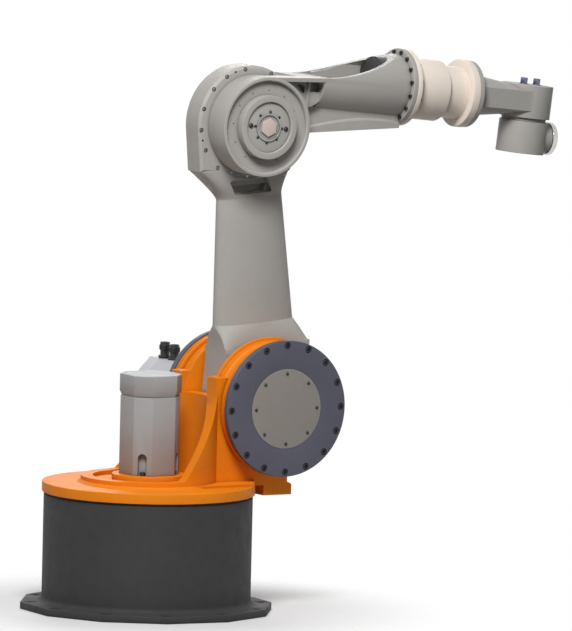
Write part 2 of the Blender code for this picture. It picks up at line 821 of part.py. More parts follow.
def link_section(height, back, front, half, squareness):
    """A closed section of the link, from an ellipse (2) to near a rectangle (8)."""
    section = []
    for i in range(32):
        angle = 2 * math.pi * i / 32
        c, s = math.cos(angle), math.sin(angle)
        reach = (abs(c) ** squareness + abs(s) ** squareness) ** (-1 / squareness)
        middle, span = (front - back) / 2, (front + back) / 2
        section.append((middle + span * reach * c, half * reach * s, height))
    return section


def between(low, high, share):
    return low + (high - low) * share


flare_foot = LINK_LENGTH - HOUSING_SKIRT
neck_sections = [
    link_section(CHEEK_TOP - 4 * OVERLAP, CHEEK_BACK - FIT, CHEEK_FRONT - OVERLAP, CHEEK_HALF - FIT, 12),
    link_section(CHEEK_TOP, CHEEK_BACK - FIT, CHEEK_FRONT, CHEEK_HALF - FIT, 12),
]
for share in (0.25, 0.5, 0.75, 1.0):
    neck_sections.append(
        link_section(
            between(CHEEK_TOP, NECK_START, share),
            between(CHEEK_BACK, NECK_BACK_LOW, share),
            between(CHEEK_FRONT, NECK_FRONT_LOW, share),
            between(CHEEK_HALF, NECK_HALF_LOW, share**1.5),
            between(10, 2, share**0.5),
        )
    )
neck_sections.append(
    link_section(NECK_FINISH, NECK_BACK_HIGH, NECK_FRONT_HIGH, NECK_HALF_HIGH, 2)
)
for share in (0.25, 0.5, 0.75, 1.0):
    neck_sections.append(
        link_section(
            between(NECK_FINISH, flare_foot, share),
            between(NECK_BACK_HIGH, HOUSING_BACK, share**1.3),
            between(NECK_FRONT_HIGH, HOUSING_FRONT, share**2),
            between(NECK_HALF_HIGH, HOUSING_HALF - FIT, share),
            between(2, 9, share**1.5),
        )
    )
neck_sections.append(
    link_section(
        flare_foot + 6 * OVERLAP, HOUSING_BACK - OVERLAP, HOUSING_FRONT - OVERLAP,
        HOUSING_HALF - FIT, 9,
    )
)
neck = loft("link_neck", neck_sections, parent=A2)
housing = side_plate(
    "a3_housing",
    [
        *arc(-HOUSING_SHIFT, LINK_LENGTH, HOUSING_RADIUS, -38, 180, MID_STEPS),
        (-HOUSING_BACK, LINK_LENGTH - HOUSING_SKIRT),
        (-NECK_BACK_HIGH, LINK_LENGTH - HOUSING_SKIRT - OVERLAP),
        (NECK_FRONT_HIGH - OVERLAP, LINK_LENGTH - HOUSING_FRONT_SKIRT),
        (HOUSING_FRONT, LINK_LENGTH - HOUSING_FRONT_SKIRT),
    ],
    HOUSING_HALF,
    parent=A2,
)
gear_hole = ring(
    "a3_gear_hole", A3_GEAR_RADIUS, 0, -HOUSING_HALF - OVERLAP, HOUSING_HALF + OVERLAP,
    MID_STEPS, parent=A2, along="near", at=(0, 0, LINK_LENGTH),
)
window_middle = LINK_LENGTH - WINDOW_DROP
window = plate(
    "casting_window",
    [
        (-WINDOW_LENGTH / 2, window_middle - WINDOW_HEIGHT / 2),
        (WINDOW_LENGTH / 2, window_middle - WINDOW_HEIGHT / 2),
        (WINDOW_LENGTH / 2, window_middle + WINDOW_HEIGHT / 2),
        (-WINDOW_LENGTH / 2, window_middle + WINDOW_HEIGHT / 2),
    ],
    HOUSING_HALF - WINDOW_DEPTH,
    HOUSING_HALF + OVERLAP,
    parent=A2,
    along="near",
)
join(link, neck, housing)
cut(link, gear_hole, window)

# A3 gearbox and its short motor, in the link's head
turned(
    "a3_gearbox",
    [
        (A3_SHAFT_RADIUS + RUNNING, HOUSING_HALF - FIT),
        (A3_GEAR_RADIUS - FIT, HOUSING_HALF - FIT),
        (A3_GEAR_RADIUS - FIT, -HOUSING_HALF),
        (A3_SHAFT_RADIUS + RUNNING, -HOUSING_HALF),
    ],
    MID_STEPS,
    STEEL,
    A2,
    "near",
    (0, 0, LINK_LENGTH),
)
ring(
    "a3_motor_adapter", A3_MOTOR_RADIUS, 0, HOUSING_HALF + FIT,
    HOUSING_HALF + A3_ADAPTER_THICKNESS, MID_STEPS, CASTING, parent=A2, along="far",
    at=(0, 0, LINK_LENGTH),
)
plate(
    "a3_motor", octagon(A3_MOTOR_HALF, A3_MOTOR_CHAMFER), HOUSING_HALF + A3_ADAPTER_THICKNESS + FIT,
    A3_MOTOR_END, MOTOR_GREY, A2, "far", (0, 0, LINK_LENGTH),
)

# Forearm casting: the hub beside the link's head, a wall and shelf that pass it,
# and a tube open at the top, with a keel and a rib under it
forearm = turned(
    "forearm_casting",
    [
        (0, HUB_FLOOR),
        (HUB_RADIUS - HUB_RIM, HUB_FLOOR),
        (HUB_RADIUS - HUB_RIM, HUB_OUTER),
        (HUB_RADIUS, HUB_OUTER),
        (HUB_RADIUS, HUB_INNER),
        (0, HUB_INNER),
    ],
    BIG_STEPS,
    CASTING,
    A3,
    "near",
)
tube_seat = {"parent": A3, "along": "x", "at": (0, 0, A4_RISE)}
tube = ring(
    "tube", TUBE_RADIUS, TUBE_RADIUS - TUBE_WALL, TUBE_START, TUBE_END, BIG_STEPS, **tube_seat
)
saddle_top = A4_RISE + TUBE_RADIUS
saddle_curve = [
    (
        between(TUBE_START, SADDLE_END_X, share / 12),
        between(SADDLE_START, saddle_top, (share / 12) ** SADDLE_BOW),
    )
    for share in range(13)
]
saddle = side_plate(
    "saddle",
    [
        (TUBE_START - OVERLAP, SADDLE_START),
        *saddle_curve,
        (SADDLE_END_X, saddle_top + OVERLAP),
        (TUBE_START - OVERLAP, saddle_top + OVERLAP),
    ],
    TUBE_RADIUS + OVERLAP,
    parent=A3,
)
cut(tube, saddle)
shelf_sections = []
for x, low, outer in (
    (0, HUB_RADIUS - SHELF_THICKNESS, HUB_OUTER - FIT),
    (TUBE_START + OVERLAP / 2, SADDLE_START - SHELF_THICKNESS - FIT, TUBE_RADIUS - FIT),
):
    shelf_sections.append(
        [
            (x, -outer, low),
            (x, -HUB_INNER, low),
            (x, -HUB_INNER, low + SHELF_THICKNESS),
            (x, -outer, low + SHELF_THICKNESS),
        ]
    )
shelf = loft("shelf", shelf_sections, parent=A3)
rib_top = [
    (
        between(TUBE_START - 2 * OVERLAP, TUBE_END - OVERLAP, share / 8),
        between(OVERLAP, A4_RISE - TUBE_RADIUS - OVERLAP, math.sin(math.pi * RIB_ARCH * share / 8)),
    )
    for share in range(9)
]
rib_foot = [
    (TUBE_END, RIB_RISE_FRONT),
    (TUBE_START - OVERLAP, -RIB_DROP_BACK),
    (TUBE_START - 4 * OVERLAP, -RIB_DROP_BACK - 1.2 * OVERLAP),
    (HUB_RADIUS + OVERLAP, -RIB_DROP_BACK - 3.5 * OVERLAP),
    (HUB_RADIUS - OVERLAP, -HUB_RADIUS / 2.6),
]
wall = side_plate(
    "wall",
    [
        (OVERLAP, HUB_RADIUS - SHELF_THICKNESS / 2),
        (OVERLAP, -HUB_RADIUS / 4),
        *rib_foot[:0:-1],
        (TUBE_END - FIT, RIB_RISE_FRONT + OVERLAP),
        (TUBE_END - FIT, WALL_TOP),
        (TUBE_START + OVERLAP / 2, WALL_TOP),
        (TUBE_START + OVERLAP / 2, SADDLE_START - SHELF_THICKNESS / 2),
    ],
    (WALL_OUTER - HUB_INNER) / 2,
    parent=A3,
    middle=-(WALL_OUTER + HUB_INNER) / 2,
)
rib = side_plate(
    "rib",
    [(HUB_RADIUS - OVERLAP, -OVERLAP), *rib_top, (TUBE_END, rib_top[-1][1]), *rib_foot],
    (RIB_OUTER - HUB_INNER) / 2,
    parent=A3,
    middle=-(RIB_OUTER + HUB_INNER) / 2,
)
pocket_rib = side_plate(
    "pocket_rib",
    [
        (POCKET_RIB_START, HUB_RADIUS / 4),
        (POCKET_RIB_START + POCKET_RIB_THICKNESS, HUB_RADIUS / 4),
        (POCKET_RIB_START + POCKET_RIB_THICKNESS, SADDLE_START - SHELF_THICKNESS / 2),
        (POCKET_RIB_START, SADDLE_START - SHELF_THICKNESS / 2),
    ],
    (POCKET_RIB_OUTER - HUB_INNER) / 2 - FIT,
    parent=A3,
    middle=-(POCKET_RIB_OUTER + HUB_INNER) / 2,
)
keel = side_plate(
    "keel",
    [
        (TUBE_START + FIT, -RIB_DROP_BACK + OVERLAP / 5),
        (TUBE_END - 2 * FIT, RIB_RISE_FRONT + OVERLAP / 5),
        (TUBE_END - 2 * FIT, A4_RISE - TUBE_RADIUS + OVERLAP),
        (TUBE_START + FIT, A4_RISE - TUBE_RADIUS + OVERLAP),
    ],
    KEEL_HALF,
    parent=A3,
    middle=-KEEL_HALF / 2,
)
shaft_bore = ring(
    "a3_shaft_bore", A3_SHAFT_RADIUS + FIT, 0, HUB_INNER - OVERLAP, HUB_FLOOR + OVERLAP,
    MID_STEPS, parent=A3, along="near",
)
join(forearm, shelf, tube, wall, pocket_rib, rib, keel)
cut(forearm, shaft_bore)

# A3 output shaft through the hub, and the boss, cover and lock nut on it
ring(
    "a3_output_shaft", A3_SHAFT_RADIUS, 0, HUB_INNER - A3_SHAFT_REACH, HUB_FLOOR,
    MID_STEPS, STEEL, parent=A3, along="near",
)
cover_floor = (HUB_FLOOR + HUB_COVER_OUTER) / 2
turned(
    "a3_hub_boss",
    [
        (0, cover_floor),
        (HUB_COVER_RADIUS + FIT, cover_floor),
        (HUB_COVER_RADIUS + FIT, HUB_BOSS_OUTER),
        (HUB_BOSS_RADIUS, HUB_BOSS_OUTER),
        (HUB_BOSS_RADIUS, HUB_FLOOR + FIT),
        (0, HUB_FLOOR + FIT),
    ],
    BIG_STEPS,
    CASTING,
    A3,
    "near",
)
ring(
    "a3_hub_cover", HUB_COVER_RADIUS, 0, cover_floor + FIT, HUB_COVER_OUTER,
    BIG_STEPS, CASTING, parent=A3, along="near",
)
lock_seat = HUB_COVER_OUTER + FIT
ring(
    "a3_lock_ring", LOCK_RING_RADIUS, 0, lock_seat, lock_seat + LOCK_RING_THICKNESS,
    MID_STEPS, STEEL, parent=A3, along="near",
)
hexagon = 1 / math.cos(math.pi / 6)
lock_face = lock_seat + LOCK_RING_THICKNESS + FIT
lock_hex = ring(
    "a3_lock_hex", LOCK_HEX_ACROSS / 2 * hexagon, 0, lock_face, lock_face + LOCK_HEX_HEIGHT,
    6, LOCK_PAINT, parent=A3, along="near",
)
lock_hex.rotation_euler.y = math.pi / 6

# A4 gearbox in the mouth of the tube, and its output
ring(
    "forearm_front_flange", FRONT_FLANGE_RADIUS, A4_OUTPUT_RADIUS + RUNNING, TUBE_END + FIT,
    FRONT_FLANGE_END, BIG_STEPS, CASTING, **tube_seat,
)
turned(
    "a4_gearbox",
    [
        (0, TUBE_END - A4_OUTPUT_REACH - RUNNING),
        (A4_OUTPUT_RADIUS + RUNNING, TUBE_END - A4_OUTPUT_REACH - RUNNING),
        (A4_OUTPUT_RADIUS + RUNNING, TUBE_END),
        (TUBE_RADIUS - TUBE_WALL - FIT, TUBE_END),
        (TUBE_RADIUS - TUBE_WALL - FIT, TUBE_END - A4_GEAR_LENGTH),
        (0, TUBE_END - A4_GEAR_LENGTH),
    ],
    BIG_STEPS,
    STEEL,
    A3,
    "x",
    (0, 0, A4_RISE),
)

# Wrist tube, which turns on A4 and carries the drives of A5 and A6 inside
ring(
    "a4_output_flange", A4_OUTPUT_RADIUS, 0, TUBE_END - A4_OUTPUT_REACH, REAR_FLANGE_START - FIT,
    MID_STEPS, STEEL, parent=A4, along="x",
)
ring(
    "wrist_rear_flange", FRONT_FLANGE_RADIUS, DRIVE_TUBE_RADIUS + FIT, REAR_FLANGE_START,
    REAR_FLANGE_END, BIG_STEPS, CREAM, parent=A4, along="x",
)
turned(
    "wrist_tube",
    [
        (DRIVE_TUBE_RADIUS + FIT, WRIST_FLANGE_END),
        (WRIST_FLANGE_RADIUS, WRIST_FLANGE_END),
        (WRIST_FLANGE_RADIUS, WRIST_FLANGE_START),
        (WRIST_TUBE_SLIM, WRIST_FLANGE_START),
        (WRIST_TUBE_SLIM, WRIST_TUBE_STEP),
        (WRIST_TUBE_RADIUS, WRIST_TUBE_STEP),
        (WRIST_TUBE_RADIUS, REAR_FLANGE_END + FIT),
        (DRIVE_TUBE_RADIUS + FIT, REAR_FLANGE_END + FIT),
    ],
    BIG_STEPS,
    CREAM,
    A4,
    "x",
)
ring(
    "a5_drive_tube", DRIVE_TUBE_RADIUS, DRIVE_SHAFT_RADIUS + FIT, REAR_FLANGE_START,
    WRIST_FLANGE_END, MID_STEPS, STEEL, parent=A4, along="x",
)
ring(
    "a6_drive_shaft", DRIVE_SHAFT_RADIUS, 0, REAR_FLANGE_START, WRIST_FLANGE_END,
    SMALL_STEPS, STEEL, parent=A4, along="x",
)

# Wrist arm: a flange, a tapered arm with flat sides and crowned faces, and the A5 head
fork = ring(
    "wrist_arm", FORK_FLANGE_RADIUS, 0, WRIST_FLANGE_END + FIT, FORK_FLANGE_END,
    BIG_STEPS, CASTING, parent=A4, along="x",
)


def arm_section(x, top, foot):
    """Flat sides, with a crown over them and another under them."""
    shares = [step / 7 for step in range(-7, 8, 2)]
    crown = [
        (x, FORK_SIDE * share, between(FORK_SIDE_EDGE, top, 1 - share**2)) for share in shares
    ]
    keel_line = [
        (x, -FORK_SIDE * share, -between(FORK_SIDE_EDGE, foot, 1 - share**2)) for share in shares
    ]
    return crown + keel_line


arm = loft(
    "tapered_arm",
    [
        arm_section(FORK_FLANGE_END - OVERLAP, FORK_TOP_ROOT, FORK_FOOT_ROOT),
        arm_section(FOREARM_LENGTH, FORK_TOP_TIP, FORK_FOOT_TIP),
    ],
    parent=A4,
    twisted=True,
)
head = ring(
    "a5_head", FORK_HEAD_RADIUS, 0, -FORK_HEAD_BOTTOM, FORK_HEAD_TOP, BIG_STEPS, parent=A5
)
shaft_hole = ring(
    "a5_shaft_hole", A5_SHAFT_RADIUS + RUNNING, 0, -FORK_HEAD_BOTTOM - OVERLAP,
    -FORK_HEAD_BOTTOM + A5_SHAFT_REACH, MID_STEPS, parent=A5,
)
join(fork, arm, head)
cut(fork, shaft_hole)
for spot, use in ((-WRIST_BOLT_BACK, "rear"), (WRIST_BOLT_FRONT, "front")):
    ring(
        f"wrist_bolt_{use}", WRIST_BOLT_ACROSS / 2 * hexagon, 0, FORK_HEAD_TOP + FIT,
        FORK_HEAD_TOP + WRIST_BOLT_HEIGHT, 6, STEEL, parent=A4,
        at=(FOREARM_LENGTH + spot, 0, 0),
    )

# Wrist block, hung on its shaft under the head, and turning on A5
ring(
    "a5_pivot_shaft", A5_SHAFT_RADIUS, 0, BLOCK_TOP + FIT,
    A5_SHAFT_REACH - FORK_HEAD_BOTTOM - RUNNING, MID_STEPS, STEEL, parent=A5,
)
ring(
    "a5_neck_ring", A5_RING_RADIUS, A5_SHAFT_RADIUS + FIT, BLOCK_TOP + FIT, A5_RING_TOP,
    MID_STEPS, CASTING, parent=A5,
)
block = ring(
    "wrist_block", BLOCK_RADIUS, 0, BLOCK_TOP - BLOCK_HEIGHT, BLOCK_TOP, BIG_STEPS, CASTING, parent=A5
)
a6_seat = {"parent": A5, "along": "x", "at": (0, 0, -A6_DROP)}
boss = ring("a6_boss", A6_BOSS_RADIUS, 0, 0, A6_BOSS_END, MID_STEPS, **a6_seat)
a6_hole = ring(
    "a6_shaft_hole", A6_SHAFT_RADIUS + RUNNING, 0, A6_BOSS_END - A6_SHAFT_REACH,
    A6_BOSS_END + OVERLAP, SMALL_STEPS, **a6_seat,
)
join(block, boss)
cut(block, a6_hole)

# Tool flange, turning on A6
flange_seat = A6_BOSS_END + RUNNING
ring(
    "tool_flange", TOOL_FLANGE_RADIUS, 0, flange_seat, TOOL_FLANGE_END, MID_STEPS, STEEL,
    parent=A6, along="x",
)
ring(
    "a6_output_shaft", A6_SHAFT_RADIUS, 0, A6_BOSS_END - A6_SHAFT_REACH + RUNNING,
    flange_seat - FIT, SMALL_STEPS, STEEL, parent=A6, along="x",
)

for piece in robot.objects:
    if piece.type == "MESH":
        piece.data.shade_smooth()
        piece.data.set_sharp_from_angle(angle=math.radians(30))
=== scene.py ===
import json
import math

import bmesh
import bpy
from mathutils import Matrix, Vector


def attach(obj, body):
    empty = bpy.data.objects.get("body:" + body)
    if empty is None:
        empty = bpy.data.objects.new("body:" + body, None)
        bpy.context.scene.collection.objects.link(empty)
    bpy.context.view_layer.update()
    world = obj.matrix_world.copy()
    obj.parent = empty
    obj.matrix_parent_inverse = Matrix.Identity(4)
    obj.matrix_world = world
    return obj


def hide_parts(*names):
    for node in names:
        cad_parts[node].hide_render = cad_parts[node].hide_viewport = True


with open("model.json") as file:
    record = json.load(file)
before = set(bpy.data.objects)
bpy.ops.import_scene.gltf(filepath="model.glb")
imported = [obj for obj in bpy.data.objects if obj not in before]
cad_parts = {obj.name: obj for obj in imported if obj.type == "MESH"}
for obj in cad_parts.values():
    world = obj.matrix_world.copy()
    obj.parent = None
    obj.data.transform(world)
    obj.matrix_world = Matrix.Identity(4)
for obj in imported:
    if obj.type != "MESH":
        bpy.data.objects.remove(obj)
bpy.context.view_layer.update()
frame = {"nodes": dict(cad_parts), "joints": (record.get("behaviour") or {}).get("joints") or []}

# The view: a very long lens far away, so that the arm shows almost no perspective.
# It looks from the arm's right, turned a little behind it and a little above.
CAMERA_TURN = math.radians(-31.28)
CAMERA_CLIMB = math.radians(6.21)
CAMERA_LEAN = math.radians(1.35)
LENS = 1400
SENSOR = 36
VIEW_HEIGHT = 2.521
VIEW_MIDDLE = Vector((0.519, -0.172, 1.178))


def add_object(name, data):
    made = bpy.data.objects.new(name, data)
    bpy.context.scene.collection.objects.link(made)
    return made


back = Vector(
    (
        math.sin(CAMERA_TURN) * math.cos(CAMERA_CLIMB),
        -math.cos(CAMERA_TURN) * math.cos(CAMERA_CLIMB),
        math.sin(CAMERA_CLIMB),
    )
)
level = Vector((math.cos(CAMERA_TURN), math.sin(CAMERA_TURN), 0))
upright = back.cross(level)
right = level * math.cos(CAMERA_LEAN) + upright * math.sin(CAMERA_LEAN)
camera = add_object("camera", bpy.data.cameras.new("camera"))
camera.data.lens = LENS
camera.data.sensor_width = SENSOR
away = VIEW_HEIGHT / SENSOR * LENS
turned_to = Matrix((right, back.cross(right), back)).transposed().to_4x4()
camera.matrix_world = Matrix.Translation(VIEW_MIDDLE + back * away) @ turned_to
camera.data.clip_start = 1
camera.data.clip_end = away * 1.5
bpy.context.scene.camera = camera
bpy.context.scene.view_settings.view_transform = "Standard"

# The studio: a pale floor that fades into a white surround, a soft key lamp high on the
# camera's side, a weak one behind, and light from the surround that fades downwards.
LIGHT_FROM_ABOVE = 0.26
LIGHT_FROM_BELOW = 0.05
DOME_RANGE = (-0.6, 0.8)
LAMP_TARGET = Vector((0.5, 0, 1.1))
KEY_POWER = 450
BACK_POWER = 130
FLOOR_SIZE = 1.4
FLOOR_DROP = 0.0006
FLOOR_GREY = 0.80
FLOOR_FADE = (0.55, 1.25)


def area_lamp(name, spot, size, power):
    lamp = add_object(name, bpy.data.lights.new(name, "AREA"))
    lamp.data.size = size
    lamp.data.energy = power
    lamp.location = spot
    lamp.rotation_euler = (LAMP_TARGET - Vector(spot)).to_track_quat("-Z", "Y").to_euler()


def add_node(tree, kind, inputs=None, **settings):
    """A shader node. Each input gets a value, or a link from another node's output."""
    made = tree.nodes.new(f"ShaderNode{kind}")
    for name, value in settings.items():
        setattr(made, name, value)
    for name, value in (inputs or {}).items():
        if isinstance(value, bpy.types.NodeSocket):
            tree.links.new(value, made.inputs[name])
        else:
            made.inputs[name].default_value = value
    return made


def combined(tree, operation, first, second):
    return add_node(tree, "Math", {0: first, 1: second}, operation=operation).outputs[0]


def spread(tree, value, low, high, start=0.3, end=0.7, **settings):
    """Spreads a value that runs from start to end over low to high."""
    ends = {"From Min": start, "From Max": end, "To Min": low, "To Max": high, "Value": value}
    return add_node(tree, "MapRange", ends, **settings).outputs[0]


area_lamp("key_lamp", (-2.5, -3.9, 6.2), 2.2, KEY_POWER)
area_lamp("back_lamp", (3.0, 5.2, 4.4), 2.6, BACK_POWER)

world = bpy.data.worlds.new("surround")
bpy.context.scene.world = world
world.use_nodes = True
tree = world.node_tree
seen = add_node(tree, "LightPath").outputs
backdrop = seen["Is Camera Ray"]
for kind in ("Is Glossy Ray", "Is Transmission Ray"):
    backdrop = combined(tree, "MAXIMUM", backdrop, seen[kind])
heading = add_node(tree, "TexCoord").outputs["Generated"]
climb = add_node(tree, "SeparateXYZ", {0: heading}).outputs["Z"]
dome = spread(tree, climb, LIGHT_FROM_BELOW, LIGHT_FROM_ABOVE, *DOME_RANGE)
sky = tree.nodes["Background"].inputs
sky["Color"].default_value = (1, 1, 1, 1)
tree.links.new(spread(tree, backdrop, dome, 1.0, 0.0, 1.0), sky["Strength"])

floor_mesh = bpy.data.meshes.new("floor")
form = bmesh.new()
bmesh.ops.create_grid(form, x_segments=1, y_segments=1, size=FLOOR_SIZE)
form.to_mesh(floor_mesh)
form.free()
floor = add_object("floor", floor_mesh)
floor.location.z = -FLOOR_DROP
floor_finish = bpy.data.materials.new("pale_floor")
floor_finish.use_nodes = True
tree = floor_finish.node_tree
pale = tree.nodes["Principled BSDF"]
pale.inputs["Base Color"].default_value = (FLOOR_GREY, FLOOR_GREY, FLOOR_GREY, 1)
pale.inputs["Roughness"].default_value = 0.8
pale.inputs["Specular IOR Level"].default_value = 0.2
where = add_node(tree, "TexCoord").outputs["Object"]
span = add_node(tree, "VectorMath", {0: where}, operation="LENGTH").outputs["Value"]
fade = spread(tree, span, 0.0, 1.0, *FLOOR_FADE, interpolation_type="SMOOTHSTEP")
direct = add_node(tree, "LightPath").outputs["Is Camera Ray"]
hidden = combined(tree, "MULTIPLY", fade, direct)
clear = add_node(tree, "BsdfTransparent").outputs[0]
mixed = add_node(tree, "MixShader", {"Fac": hidden, 1: pale.outputs[0], 2: clear})
tree.links.new(mixed.outputs[0], tree.nodes["Material Output"].inputs["Surface"])
floor_mesh.materials.append(floor_finish)

# The six axes, read from the frame. Each seat is a place with its own directions:
# +Z points out of the piece, +Y up it. A stand has +X forward and +Z up.
joints = {joint["name"]: joint for joint in frame["joints"]}
SHOULDER, ELBOW, ROLL, SWING, TOOL = (
    Vector(joints[name]["pos_m"])
    for name in ("a2_shoulder", "a3_elbow", "a4_forearm_roll", "a5_wrist_swing", "a6_tool_roll")
)
SIDE = Vector((0, 1, 0))
UP = Vector((0, 0, 1))
LINK_UP = (ELBOW - SHOULDER).normalized()
REACH = Vector(joints["a4_forearm_roll"]["axis"]).normalized()
RISE = REACH.cross(SIDE)


def seat(spot, out, up):
    return Matrix.Translation(spot) @ Matrix((up.cross(out), up, out)).transposed().to_4x4()


def stand(spot, forward, up):
    return Matrix.Translation(spot) @ Matrix((forward, up.cross(forward), up)).transposed().to_4x4()


UPRIGHT = Matrix.Identity(4)
SHOULDER_NEAR = seat(SHOULDER, -SIDE, UP)
SHOULDER_FAR = seat(SHOULDER, SIDE, UP)
LINK_NEAR = seat(SHOULDER, -SIDE, LINK_UP)
LINK = stand(SHOULDER, SIDE.cross(LINK_UP), LINK_UP)
LINK_HEAD_NEAR = seat(ELBOW, -SIDE, LINK_UP)
LINK_HEAD_FAR = seat(ELBOW, SIDE, LINK_UP)
HUB_NEAR = seat(ELBOW, -SIDE, RISE)
FOREARM = stand(ELBOW, REACH, RISE)
BARREL = seat(ROLL, REACH, RISE)
WRIST = stand(SWING, REACH, RISE)
SPINDLE = seat(TOOL, REACH, RISE)

# The base: one iron casting, a drum on a twelve-sided foot with a hollow round the
# step. It is sand cast, turned where the bearing sits, and sprayed dark grey.
FOOT_RADIUS = 0.510
FOOT_HEIGHT = 0.028
FOOT_CORNERS = 12
FOOT_TURN = math.radians(9.1)
ANCHOR_RING = 0.468
ANCHOR_BORE = 0.014
SPOT_FACE = 0.026
SPOT_FACE_DEPTH = 0.002
DRUM_RADIUS = 0.418
DRUM_HEIGHT = 0.460
DRUM_HOLLOW = 0.024
PIT_RADIUS = 0.345
PIT_FLOOR = 0.090
BEARING_SEAT = 0.380
BEARING_FLOOR = 0.380
ROUND_STEPS = 144
SMOOTH_TO = 35
BY = 0.010  # how far a cutter passes a face, or a joined form sinks into its neighbour


def arc(x, y, radius, start, end, steps):
    """Points along a circle, from one angle to another in degrees."""
    angles = [math.radians(start + (end - start) * i / steps) for i in range(steps + 1)]
    return [(x + radius * math.cos(angle), y + radius * math.sin(angle)) for angle in angles]


def rounded(points, radius, steps=3, loop=False):
    """The line through these points with each corner rounded. A third number in a
    point is that corner's own radius."""
    count = len(points)
    found = []
    for i, point in enumerate(points):
        here = Vector(point[:2])
        if not loop and i in (0, count - 1):
            found.append(here)
            continue
        to_last = Vector(points[i - 1][:2]) - here
        to_next = Vector(points[(i + 1) % count][:2]) - here
        own = point[2] if len(point) > 2 else radius
        bend = math.pi - to_last.angle(to_next)
        if own <= 0 or bend < 0.02:
            found.append(here)
            continue
        cut_back = min(own * math.tan(bend / 2), 0.48 * to_last.length, 0.48 * to_next.length)
        start = here + to_last.normalized() * cut_back
        end = here + to_next.normalized() * cut_back
        for step in range(steps + 1):
            t = step / steps
            found.append(start * (1 - t) ** 2 + here * 2 * t * (1 - t) + end * t**2)
    return found


def write_form(form, mesh, smooth=SMOOTH_TO):
    """Writes a form into a mesh. Edges that turn more than smooth degrees stay sharp."""
    form.to_mesh(mesh)
    form.free()
    mesh.shade_smooth()
    mesh.set_sharp_from_angle(angle=math.radians(smooth))
    return mesh


def as_piece(name, form, place, smooth=SMOOTH_TO):
    bmesh.ops.recalc_face_normals(form, faces=form.faces)
    piece = add_object(name, write_form(form, bpy.data.meshes.new(name), smooth))
    piece.matrix_world = place
    return piece


def lathe(name, profile, place, edge=0.0015, steps=ROUND_STEPS, turn=0.0):
    """A profile of (radius, height) points turned about the place's +Z."""
    hollow = profile[0][0] > 0
    line = rounded(profile, edge, loop=hollow)
    angles = [turn + 2 * math.pi * i / steps for i in range(steps)]
    form = bmesh.new()
    rows = []
    for radius, height in line:
        if radius < 1e-7:
            rows.append([form.verts.new((0, 0, height))])
            continue
        row = [(radius * math.cos(angle), radius * math.sin(angle), height) for angle in angles]
        rows.append([form.verts.new(spot) for spot in row])
    pairs = list(zip(rows, rows[1:]))
    if hollow:
        pairs.append((rows[-1], rows[0]))
    for first, second in pairs:
        for i in range(steps):
            j = (i + 1) % steps
            if len(first) == 1:
                form.faces.new((first[0], second[i], second[j]))
            elif len(second) == 1:
                form.faces.new((first[i], first[j], second[0]))
            else:
                form.faces.new((first[i], first[j], second[j], second[i]))
    return as_piece(name, form, place)


def disc(name, radius, low, high, place, top=0.0, foot=0.0, steps=ROUND_STEPS, turn=0.0,
         bore=0.0, bore_edge=0.0):
    """A plain turned piece or cutter, with its outer corners rounded by top and foot."""
    profile = [(bore, high), (radius, high, top), (radius, low, foot), (bore, low)]
    return lathe(name, profile, place, bore_edge, steps, turn)


def loft(name, sections, place, smooth=SMOOTH_TO):
    """A skin over closed sections with equally many points, with flat ends."""
    form = bmesh.new()
    rows = [[form.verts.new(point) for point in section] for section in sections]
    count = len(rows[0])
    for low, high in zip(rows, rows[1:]):
        for i in range(count):
            j = (i + 1) % count
            form.faces.new((low[i], low[j], high[j], high[i]))
    form.faces.new(rows[0])
    form.faces.new(rows[-1])
    return as_piece(name, form, place, smooth)


def slab(name, outline, low, high, place, edge=0.0, crisp=False):
    """A flat outline raised from low to high along the place's +Z, its edges rounded or,
    if crisp, with one flat chamfer."""
    rim = [(0.0, edge), (0.3 * edge, 0.3 * edge), (edge, 0.0)] if edge else [(0.0, 0.0)]
    if crisp:
        rim = [(0.0, edge), (edge, 0.0)]
    levels = [(low + rise, inset) for rise, inset in rim]
    levels += [(high - rise, inset) for rise, inset in reversed(rim)]
    count = len(outline)
    corners = [Vector(point[:2]) for point in outline]
    area = sum(corners[i].cross(corners[(i + 1) % count]) for i in range(count))
    sections = []
    for height, inset in levels:
        section = []
        for i, here in enumerate(corners):
            before = (here - corners[i - 1]).normalized()
            after = (corners[(i + 1) % count] - here).normalized()
            inward = Vector((-before.y - after.y, before.x + after.x)) * (1 if area > 0 else -1)
            inward *= 1 / max(0.3, inward.length_squared / 2)
            spot = here + inward * inset
            section.append((spot.x, spot.y, height))
        sections.append(section)
    return loft(name, sections, place)


def round_hole(name, radius, low, high, place, circle=0.0, angle=0.0, steps=32):
    """A cutter for a drilled hole, on the place's axis or on a circle round it."""
    offset = Matrix.Translation((circle * math.cos(angle), circle * math.sin(angle), 0))
    return disc(name, radius, low, high, place @ offset, steps=steps)


def boolean(piece, others, operation):
    """Joins or cuts, then keeps the result as the piece's own mesh."""
    for other in others:
        step = piece.modifiers.new(other.name, "BOOLEAN")
        step.object = other
        step.operation = operation
        step.solver = "EXACT"
    bpy.context.view_layer.update()
    graph = bpy.context.evaluated_depsgraph_get()
    mesh = bpy.data.meshes.new_from_object(piece.evaluated_get(graph))
    piece.modifiers.clear()
    piece.data = mesh
    for other in others:
        bpy.data.objects.remove(other)
    form = bmesh.new()
    form.from_mesh(mesh)
    bmesh.ops.remove_doubles(form, verts=form.verts, dist=0.00002)
    write_form(form, mesh)


def cut(piece, *others):
    boolean(piece, others, "DIFFERENCE")


def join(piece, *others):
    boolean(piece, others, "UNION")


def paint(piece, finish):
    """Gives a piece its finish. Its place goes into its mesh, as in the CAD nodes."""
    if piece.matrix_world != UPRIGHT:
        piece.data.transform(piece.matrix_world)
        piece.matrix_world = UPRIGHT
    piece.data.materials.clear()
    piece.data.materials.append(finish)


